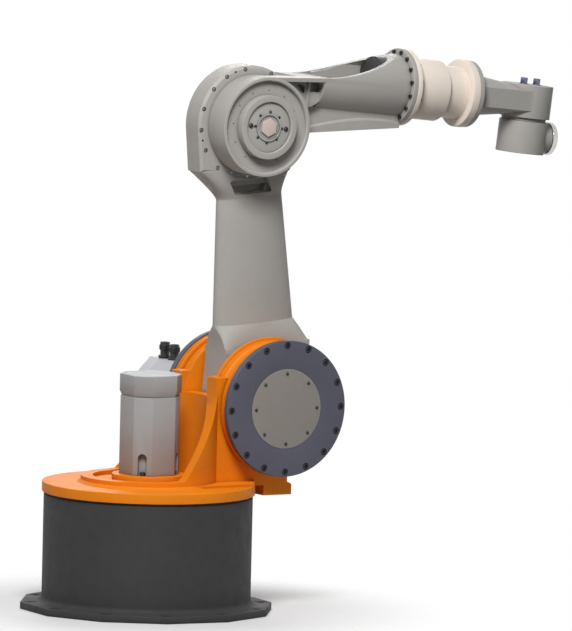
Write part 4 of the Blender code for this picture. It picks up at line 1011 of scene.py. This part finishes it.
# Screws round the A3 housing close it over the gear unit, with two dowels between
# them. They are zinc plated on black washers, and sunk so that the forearm can pass.
HOUSING_SCREW_RING = 0.2225
HOUSING_SCREW_ANGLES = (60, 92, 115, 135, 158, 180, 202, 226)
HOUSING_DOWEL_ANGLES = (104, 191)
RELIEF_SCREW_RING = 0.2085
RELIEF_SCREW_ANGLES = (242, 263)
SUNK_HEAD = 0.0046
SUNK_PROUD = 0.0006
WASHER_HEIGHT = 0.0003
ZINC = turned_steel("zinc_plate", (0.36, 0.36, 0.35), 0.42, 300.0)
ring_place = LINK_HEAD_NEAR @ Matrix.Translation((-0.008, 0, 0))
relief = HOUSING_HALF - HUB_RELIEF
screw_places = at_angles(ring_place, HOUSING_SCREW_ANGLES, HOUSING_SCREW_RING, HOUSING_HALF)
screw_places += at_angles(LINK_HEAD_NEAR, RELIEF_SCREW_ANGLES, RELIEF_SCREW_RING, relief)
dowel_places = at_angles(ring_place, HOUSING_DOWEL_ANGLES, HOUSING_SCREW_RING, HOUSING_HALF)
sunk = Matrix.Translation((0, 0, SUNK_PROUD - SUNK_HEAD))
copies("housing_screws", cap_screw(0.0056, SUNK_HEAD, 0.0045, 0.003),
       [spot @ sunk for spot in screw_places], ZINC, "link")
copies("housing_washers", disc("washer", 0.0088, 0, WASHER_HEIGHT, UPRIGHT, 0.0001, 0.0001, 24),
       screw_places, BLACK_OXIDE, "link")
copies("housing_dowels", disc("dowel", 0.0045, 0, SUNK_PROUD, UPRIGHT, 0.0002, 0.0002, 20),
       dowel_places, BLACK_OXIDE, "link")

# The A3 motor stands on the far side of the link's head, on a round adapter. It is
# the short servo motor of the same range, with plain sides.
A3_ADAPTER_RADIUS = 0.150
A3_ADAPTER_END = HOUSING_HALF + 0.025
A3_SPLIT = 0.195
A3_MOTOR_END = 0.250
A3_HALF = 0.085
A3_CHAMFER = 0.040
a3_adapter = disc("a3_adapter", A3_ADAPTER_RADIUS, HOUSING_HALF + FIT, A3_ADAPTER_END,
                  LINK_HEAD_FAR, 0.002, 0.002)
levels = [
    (A3_ADAPTER_END + FIT, A3_HALF - 0.002), (A3_ADAPTER_END + 0.002, A3_HALF - 0.0004),
    (A3_SPLIT - 0.004, A3_HALF - 0.0004), (A3_SPLIT - 0.0035, A3_HALF - 0.004),
    (A3_SPLIT, A3_HALF - 0.004), (A3_SPLIT + 0.0005, A3_HALF - 0.001),
    (A3_MOTOR_END - 0.004, A3_HALF - 0.001), (A3_MOTOR_END, A3_HALF - 0.005),
]
a3_motor = motor_case("a3_motor_shell", levels, A3_CHAMFER, LINK_HEAD_FAR)
for piece, node, coat, slot in (
    (a3_adapter, "a3_motor_adapter", WARM_GREY, "casting"),
    (a3_motor, "a3_motor", MOTOR_PAINT, "motor_grey"),
):
    paint(piece, coat)
    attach(piece, "link")
    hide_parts(node)

# The forearm: one casting. A hub lies beside the link's head, a thin wall with a shelf
# and ribs passes it, and they carry a tube that is open at the top to reach the drive.
HUB_RADIUS = 0.200
RUN = 0.0008  # between pieces that turn against each other
HUB_INNER = HOUSING_HALF + RUN
HUB_OUTER = 0.184
HUB_RIM = 0.016
HUB_FLOOR = 0.163
HUB_SHAFT = 0.0503
TUBE_RISE = (ROLL - ELBOW).dot(RISE)
TUBE_RADIUS = 0.130
TUBE_BORE = 0.112
TUBE_START = 0.279
TUBE_END = 0.681
SADDLE_START = 0.216
SADDLE_END = 0.662
SHELF_THICKNESS = 0.016
WALL_OUTER = 0.066
WALL_TOP = 0.099
RIB_OUTER = 0.076
RIB_BEVEL = 0.009
KEEL_HALF = 0.040
POCKET_RIB_START = 0.214
POCKET_RIB_END = 0.228
POCKET_RIB_OUTER = 0.104
POCKET_CORNER = 0.026
STAGGER = 0.0004
SADDLE_BOW_NEAR = 1.7
SADDLE_BOW_FAR = 1.265
DECK_START = 0.190
FAR_PLATE_START = 0.345
FAR_PLATE_TOP = 0.271
FAR_PLATE_INNER = 0.091
FAR_PLATE_OUTER = 0.118
WEB_OUTER = 0.099
WEB_LEDGE = 0.155
hub_well = HUB_RADIUS - HUB_RIM
forearm = lathe(
    "forearm",
    [
        (0, HUB_FLOOR), (hub_well, HUB_FLOOR, 0.002), (hub_well, HUB_OUTER - 0.004, 0),
        (hub_well + 0.004, HUB_OUTER, 0.0008), (HUB_RADIUS, HUB_OUTER, 0.0025),
        (HUB_RADIUS, HUB_INNER, 0.0015), (0, HUB_INNER),
    ],
    HUB_NEAR,
)
tube = disc("tube", TUBE_RADIUS, TUBE_START, TUBE_END, BARREL, 0.0012, 0.0012,
            bore=TUBE_BORE, bore_edge=0.0012)
bulkhead = disc("bulkhead", TUBE_BORE + 0.004, TUBE_START + 0.0025, TUBE_START + 0.0115, BARREL,
                0.0015, 0.0015)
join(tube, bulkhead)
saddle_top = TUBE_RISE + TUBE_RADIUS


def saddle_section(side, bow):
    """The saddle's cut on one side of the tube: low at the back, rising to the front."""
    line = [(TUBE_START - BY, side, SADDLE_START)]
    for step in range(31):
        share = step / 30
        height = between(SADDLE_START, saddle_top, share**bow)
        line.append((between(TUBE_START, SADDLE_END, share), side, height))
    return line + [(SADDLE_END, side, saddle_top + BY), (TUBE_START - BY, side, saddle_top + BY)]


saddle_half = TUBE_RADIUS + BY
near_line = saddle_section(-saddle_half, SADDLE_BOW_NEAR)
cut(tube, loft("saddle", [near_line, saddle_section(saddle_half, SADDLE_BOW_FAR)], FOREARM))
back_end = TUBE_START + BY / 2
shelf_sections = []
for x, top, outer in (
    (0.001, HUB_RADIUS - STAGGER, HUB_OUTER - STAGGER),
    (back_end, SADDLE_START - STAGGER, TUBE_RADIUS - STAGGER),
):
    line = rectangle(-outer, -HUB_INNER - STAGGER, top - SHELF_THICKNESS, top)
    shelf_sections.append([(x, y, z) for y, z in line])
shelf = loft("shelf", shelf_sections, FOREARM)
rib_top = [
    (
        between(TUBE_START - 2 * BY, TUBE_END - BY, step / 20),
        between(BY, TUBE_RISE - TUBE_RADIUS - BY, math.sin(math.pi * 0.62 * step / 20)),
    )
    for step in range(21)
]
rib_foot = [
    (TUBE_END, 0.045), (TUBE_START - BY, -0.009), (TUBE_START - 4 * BY, -0.021),
    (HUB_RADIUS + BY, -0.044), (HUB_RADIUS - BY, -HUB_RADIUS / 2.6),
]
shelf_middle = SADDLE_START - SHELF_THICKNESS / 2
wall = slab(
    "wall",
    [
        (BY, HUB_RADIUS - SHELF_THICKNESS / 2), (BY, -HUB_RADIUS / 4), *rib_foot[:0:-1],
        (TUBE_END - FIT, 0.045 + BY), (TUBE_END - FIT, WALL_TOP),
        (back_end, WALL_TOP), (back_end, shelf_middle),
    ],
    HUB_INNER + 2 * STAGGER, WALL_OUTER, HUB_NEAR,
)
rib_line = [(HUB_RADIUS - BY, -BY), *rib_top, (TUBE_END, rib_top[-1][1])]
raised = [(x, y + RIB_BEVEL) for x, y in rib_line] + rib_foot
rib_levels = (
    (raised, HUB_INNER + 3 * STAGGER), (raised, WALL_OUTER - 2 * STAGGER),
    (rib_line + rib_foot, RIB_OUTER),
)
rib = loft("rib", [[(x, y, z) for x, y in line] for line, z in rib_levels], HUB_NEAR)
pocket_rib = slab(
    "pocket_rib", rectangle(POCKET_RIB_START, POCKET_RIB_END, HUB_RADIUS / 4, shelf_middle),
    HUB_INNER + 4 * STAGGER, POCKET_RIB_OUTER, HUB_NEAR, 0.001,
)
shelf_foot = SADDLE_START - SHELF_THICKNESS
corner_x, corner_y = TUBE_START - POCKET_CORNER, shelf_foot - POCKET_CORNER
pocket_corner = slab(
    "pocket_corner",
    [
        (back_end, shelf_foot + BY / 2), (corner_x - 0.002, shelf_foot + BY / 2),
        *arc(corner_x, corner_y, POCKET_CORNER, 90, 0, 12), (back_end, corner_y - 0.002),
    ],
    WALL_OUTER - 0.002, TUBE_RADIUS - 0.004, HUB_NEAR,
)
keel_top = TUBE_RISE - TUBE_RADIUS + BY
keel = slab(
    "keel",
    [
        (TUBE_START + FIT, -0.007), (TUBE_END - 2 * FIT, 0.047),
        (TUBE_END - 2 * FIT, keel_top), (TUBE_START + FIT, keel_top),
    ],
    -KEEL_HALF / 2, KEEL_HALF * 1.5, HUB_NEAR, 0.002,
)
deck_sections = []
for x in (DECK_START, TUBE_START + 3 * BY):
    top = between(HUB_RADIUS, SADDLE_START, x / back_end) - 2 * STAGGER
    low = top - SHELF_THICKNESS - STAGGER
    line = rectangle(-TUBE_RADIUS + BY, TUBE_RADIUS - BY, low, top)
    deck_sections.append([(x, y, z) for y, z in line])
deck = loft("deck", deck_sections, FOREARM)
plate_line = [
    (FAR_PLATE_START, 0.150), (0.570, 0.150), (0.570, FAR_PLATE_TOP), (0.495, FAR_PLATE_TOP),
    (0.402, 0.240), (FAR_PLATE_START, 0.2265),
]
far_plate = slab("far_plate", plate_line, -FAR_PLATE_OUTER, -FAR_PLATE_INNER, HUB_NEAR)
web_end = POCKET_RIB_START + 2 * STAGGER
near_web = slab(
    "near_web",
    [
        (0.120, shelf_foot), (0.120, 0.100), (0.200, 0.088), (0.238, 0.093), (0.262, 0.105),
        (0.2835, 0.122), (0.2835, WEB_LEDGE), (web_end, WEB_LEDGE), (web_end, shelf_foot),
    ],
    HUB_INNER + 5 * STAGGER, WEB_OUTER, HUB_NEAR, 0.001,
)
pocket_line = rounded([(0.160, 0.181), (0.203, 0.178), (0.207, 0.138)], 0.007, 5, loop=True)
cut(near_web, slab("web_pocket", pocket_line, WALL_OUTER + BY, WEB_OUTER + BY, HUB_NEAR))
join(forearm, tube)
join(forearm, shelf, wall)
join(forearm, deck, near_web)
join(forearm, pocket_rib, pocket_corner, rib, keel)
join(forearm, far_plate)
hub_shaft = (HUB_SHAFT, HUB_INNER - BY, HUB_FLOOR + BY, HUB_NEAR)
cut(forearm, round_hole("shaft_bore", *hub_shaft, steps=64))
paint(forearm, WARM_GREY)
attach(forearm, "forearm")
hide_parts("forearm_casting")

# The hub is closed by a turned boss and a cover let into it. A lock ring and a large
# hexagon, painted pale pink, hold them on the end of the A3 shaft.
HUB_BOSS_RADIUS = 0.128
BOSS_OUTER = 0.202
HUB_COVER_RADIUS = 0.100
HUB_COVER_OUTER = 0.192
HUB_COVER_FLOOR = (HUB_FLOOR + HUB_COVER_OUTER) / 2
LOCK_RING_RADIUS = 0.056
LOCK_RING_BORE = 0.049
LOCK_RING_END = HUB_COVER_OUTER + 0.0063
LOCK_HEX_ACROSS = 0.066
LOCK_HEX_END = LOCK_RING_END + 0.0012
LOCK_PAINT = sprayed("pale_pink_enamel", (0.62, 0.505, 0.46), 0.50, 0.03, edge_wear_and_highlight=1.05)
hub_boss = lathe(
    "hub_boss",
    [
        (0, HUB_COVER_FLOOR), (HUB_COVER_RADIUS + RUN, HUB_COVER_FLOOR, 0),
        (HUB_COVER_RADIUS + RUN, BOSS_OUTER - 0.003, 0),
        (HUB_COVER_RADIUS + RUN + 0.003, BOSS_OUTER, 0.0008), (HUB_BOSS_RADIUS, BOSS_OUTER, 0.002),
        (HUB_BOSS_RADIUS, HUB_FLOOR + FIT, 0.0008), (0, HUB_FLOOR + FIT),
    ],
    HUB_NEAR,
)
hub_cover = disc("hub_cover", HUB_COVER_RADIUS, HUB_COVER_FLOOR + FIT, HUB_COVER_OUTER, HUB_NEAR,
                 0.0015, 0.0008)
lock_ring = disc("lock_ring", LOCK_RING_RADIUS, HUB_COVER_OUTER + FIT, LOCK_RING_END, HUB_NEAR,
                 0.001, 0.0006, bore=LOCK_RING_BORE, bore_edge=0.0006)
lock_hex = disc("lock_hex", corner_radius(LOCK_HEX_ACROSS), HUB_COVER_OUTER + FIT, LOCK_HEX_END,
                HUB_NEAR, 0.0014, 0.0005, 6, math.pi / 6)
for piece, node, finish, slot in (
    (hub_boss, "a3_hub_boss", WARM_GREY, "casting"),
    (hub_cover, "a3_hub_cover", WARM_GREY, "casting"),
    (lock_ring, "a3_lock_ring", ZINC, "steel"),
    (lock_hex, "a3_lock_hex", LOCK_PAINT, "lock_hex"),
):
    paint(piece, finish)
    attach(piece, "forearm")
    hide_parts(node)

# Eight button-head screws round the lock ring hold the cover, two jacking screws stand
# outside them, and twelve small grub screws plug the holes round the hub's floor.
HUB_SCREW_RING = 0.0625
JACK_SCREW_RING = 0.082
GRUB_RING = 0.147
copies("hub_screws", button_screw(0.0060, 0.0036, 0.004),
       at_angles(HUB_NEAR, evenly(8), HUB_SCREW_RING, HUB_COVER_OUTER), BLACK_OXIDE, "forearm")
copies("jack_screws", button_screw(0.0105, 0.006, 0.008),
       at_angles(HUB_NEAR, evenly(2), JACK_SCREW_RING, HUB_COVER_OUTER), BLACK_OXIDE, "forearm")
copies("grub_screws", button_screw(0.0028, 0.0012, 0.002),
       at_angles(HUB_NEAR, evenly(12), GRUB_RING, HUB_FLOOR), BLACK_OXIDE, "forearm")

# The A4 gear unit is bolted into the front of the tube and shows through the saddle.
# Its case is painted near black as painted shade for the inside of the tube.
paint(frame["nodes"]["a4_gearbox"], sprayed("gear_case_painted_shade", (0.045, 0.044, 0.043), 0.55, 0.05, 1.2))

# A flange of the same grey closes the front of the forearm over the A4 gear unit.
# Sixteen cap screws stand round its back, just outside the tube.
FRONT_FLANGE_RADIUS = 0.154
FRONT_FLANGE_END = 0.701
FRONT_FLANGE_BORE = 0.0708
FLANGE_SCREW_RING = 0.1415
front_flange = disc("front_flange", FRONT_FLANGE_RADIUS, TUBE_END + FIT, FRONT_FLANGE_END, BARREL,
                    0.0015, 0.003, bore=FRONT_FLANGE_BORE, bore_edge=0.0006)
paint(front_flange, WARM_GREY)
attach(front_flange, "forearm")
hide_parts("forearm_front_flange")
half_turn = Matrix.Rotation(math.pi, 4, "Y")
screw_places = at_angles(BARREL, evenly(16, 11.25), FLANGE_SCREW_RING, TUBE_END)
copies("front_flange_screws", cap_screw(0.0075, 0.009, 0.008, 0.005),
       [spot @ half_turn for spot in screw_places], BLACK_OXIDE, "forearm")

# The wrist tube turns on A4. It is a cream-painted casting in three steps, with a
# bolted flange at the back and a turned one at the front.
REAR_FLANGE_START = FRONT_FLANGE_END + RUN
REAR_FLANGE_END = REAR_FLANGE_START + 0.023
WRIST_TUBE_RADIUS = 0.122
WRIST_TUBE_STEP = 0.877
WRIST_TUBE_SLIM = 0.105
WRIST_FLANGE_START = 0.976
WRIST_FLANGE_RADIUS = 0.136
WRIST_FLANGE_END = 1.010
REAR_SCREW_RING = 0.1385
DRIVE_TUBE_BORE = 0.0603
CREAM = sprayed("cream_enamel", (0.84, 0.745, 0.655), 0.50, 0.03, edge_wear_and_highlight=1.04)
rear_flange = disc("wrist_rear_flange_shell", FRONT_FLANGE_RADIUS, REAR_FLANGE_START,
                   REAR_FLANGE_END, BARREL, 0.004, 0.0015, bore=DRIVE_TUBE_BORE, bore_edge=0.0006)
wrist_tube = lathe(
    "wrist_tube_shell",
    [
        (DRIVE_TUBE_BORE, WRIST_FLANGE_END), (WRIST_FLANGE_RADIUS, WRIST_FLANGE_END, 0.0015),
        (WRIST_FLANGE_RADIUS, WRIST_FLANGE_START, 0.003),
        (WRIST_TUBE_SLIM, WRIST_FLANGE_START, 0.003), (WRIST_TUBE_SLIM, WRIST_TUBE_STEP, 0.002),
        (WRIST_TUBE_RADIUS, WRIST_TUBE_STEP, 0.003),
        (WRIST_TUBE_RADIUS, REAR_FLANGE_END + FIT, 0.0006),
        (DRIVE_TUBE_BORE, REAR_FLANGE_END + FIT),
    ],
    BARREL, 0.0006,
)
for piece, node in ((rear_flange, "wrist_rear_flange"), (wrist_tube, "wrist_tube")):
    paint(piece, CREAM)
    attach(piece, "wrist_tube")
    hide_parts(node)
places = at_angles(BARREL, evenly(12, 15), REAR_SCREW_RING, REAR_FLANGE_END)
screw = cap_screw(0.0065, 0.008, 0.007, 0.005)
copies("wrist_rear_screws", screw, places, BLACK_OXIDE, "wrist_tube")

# The wrist arm: a grey casting with a flange, a tapering arm with flat sides and a
# crown above and below, and a round head that holds the A5 shaft.
ARM_FLANGE_RADIUS = 0.134
ARM_FLANGE_START = WRIST_FLANGE_END + FIT
ARM_FLANGE_END = WRIST_FLANGE_END + 0.020
ARM_LENGTH = (SWING - ROLL).dot(REACH)
HEAD_RADIUS = 0.104
HEAD_TOP = 0.064
HEAD_FOOT = 0.069
ARM_SIDE = 0.100
ARM_EDGE = 0.0395
ARM_TOP_ROOT = 0.085
ARM_TOP_TIP = 0.047
ARM_FOOT_ROOT = 0.089
ARM_FOOT_TIP = 0.049
A5_BORE = 0.0458
A5_BORE_TOP = 0.011
wrist_arm = disc("wrist_arm_shell", ARM_FLANGE_RADIUS, ARM_FLANGE_START, ARM_FLANGE_END, BARREL,
                 0.002, 0.001)


def arm_section(x, top, foot):
    """Flat sides, with a crown over them and another under them."""
    shares = [step / 15 for step in range(-15, 16)]
    crown = [(x, ARM_SIDE * share, between(ARM_EDGE, top, 1 - share**2)) for share in shares]
    belly = [(x, -ARM_SIDE * share, -between(ARM_EDGE, foot, 1 - share**2)) for share in shares]
    return crown + belly


arm_ends = (
    (ARM_FLANGE_END - BY - ARM_LENGTH, 0),
    (ARM_TOP_ROOT, ARM_TOP_TIP),
    (ARM_FOOT_ROOT, ARM_FOOT_TIP),
)
arm_sections = [arm_section(*(between(*ends, step / 6) for ends in arm_ends)) for step in range(7)]
head = disc("head", HEAD_RADIUS, -HEAD_FOOT, HEAD_TOP, WRIST, 0.002, 0.002, turn=0.01)
join(wrist_arm, loft("arm", arm_sections, WRIST), head)
cut(wrist_arm, round_hole("a5_bore", A5_BORE, -HEAD_FOOT - BY, A5_BORE_TOP, WRIST, steps=64))
paint(wrist_arm, WARM_GREY)
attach(wrist_arm, "wrist_tube")
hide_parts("wrist_arm")

# Two hexagon bolts on the head clamp the A5 bearing. They are 28 mm across the flats,
# of blued steel, each on a plain washer.
BOLT_ACROSS = 0.028
BOLT_HEIGHT = 0.026
BLUED = turned_steel("blued_steel", (0.16, 0.16, 0.25), 0.30, 200.0)
bolt_corner = corner_radius(BOLT_ACROSS)
for spot, use in ((-0.020, "rear"), (0.040, "front")):
    place = WRIST @ Matrix.Translation((spot, 0, HEAD_TOP))
    bolt_line = [
        (0, BOLT_HEIGHT), (bolt_corner * 0.90, BOLT_HEIGHT, 0),
        (bolt_corner, BOLT_HEIGHT - 0.0022, 0), (bolt_corner, FIT, 0), (0, FIT),
    ]
    bolt = lathe(f"wrist_bolt_{use}_shell", bolt_line, place, 0, 6)
    washer = disc(f"wrist_washer_{use}", bolt_corner + 0.003, FIT, 0.0028, place, 0.0006, steps=48)
    for piece in (bolt, washer):
        paint(piece, BLUED)
        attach(piece, "wrist_tube")
    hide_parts(f"wrist_bolt_{use}")

# The wrist block hangs under the head on the A5 shaft, with a neck ring between them.
# It is a grey casting whose boss carries the tool flange.
NECK_RING_RADIUS = 0.090
NECK_RING_TOP = -HEAD_FOOT - RUN
NECK_RING_BORE = 0.0453
BLOCK_TOP = NECK_RING_TOP - 0.013
BLOCK_RADIUS = 0.097
BLOCK_FOOT = BLOCK_TOP - 0.130
TOOL_BOSS_RADIUS = 0.060
TOOL_BOSS_END = 0.112
TOOL_BORE = 0.0308
TOOL_BORE_START = 0.032
neck_ring = disc("neck_ring", NECK_RING_RADIUS, BLOCK_TOP + FIT, NECK_RING_TOP, WRIST,
                 0.001, 0.0006, bore=NECK_RING_BORE, bore_edge=0.0004)
block = disc("block", BLOCK_RADIUS, BLOCK_FOOT, BLOCK_TOP, WRIST, 0.003, 0.002, turn=0.01)
join(block, disc("tool_boss", TOOL_BOSS_RADIUS, 0, TOOL_BOSS_END, SPINDLE, 0.0015, steps=96))
tool_bore = (TOOL_BORE, TOOL_BORE_START, TOOL_BOSS_END + BY, SPINDLE)
cut(block, round_hole("tool_bore", *tool_bore, steps=48))
for piece, node in ((neck_ring, "a5_neck_ring"), (block, "wrist_block")):
    paint(piece, WARM_GREY)
    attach(piece, "wrist_block")
    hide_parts(node)

# The tool flange turns on A6. It is bright turned steel with a centring bore, six
# tapped holes on a circle and one dowel hole between two of them.
FLANGE_START = TOOL_BOSS_END + RUN
FLANGE_END = 0.133
TOOL_FLANGE_RADIUS = 0.066
CENTRE_BORE = 0.0315
CENTRE_DEPTH = 0.007
TAPPED_RING = 0.050
TAPPED_HOLE = 0.0042
DOWEL_HOLE = 0.003
HOLE_DEPTH = 0.012
BRIGHT = turned_steel("bright_steel", (0.62, 0.61, 0.60), 0.26, 300.0)
tool_flange = lathe(
    "tool_flange_shell",
    [
        (0, FLANGE_END - CENTRE_DEPTH), (CENTRE_BORE, FLANGE_END - CENTRE_DEPTH, 0),
        (CENTRE_BORE, FLANGE_END, 0.001), (TOOL_FLANGE_RADIUS, FLANGE_END, 0.0012),
        (TOOL_FLANGE_RADIUS, FLANGE_START, 0.0008), (0, FLANGE_START),
    ],
    SPINDLE, 0, 96,
)
holes = [(TAPPED_HOLE, angle) for angle in evenly(6, 30)] + [(DOWEL_HOLE, 60)]
for radius, angle in holes:
    cut(tool_flange, round_hole("hole", radius, FLANGE_END - HOLE_DEPTH, FLANGE_END + BY, SPINDLE,
                                TAPPED_RING, math.radians(angle), 20))
paint(tool_flange, BRIGHT)
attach(tool_flange, "tool")
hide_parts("tool_flange")
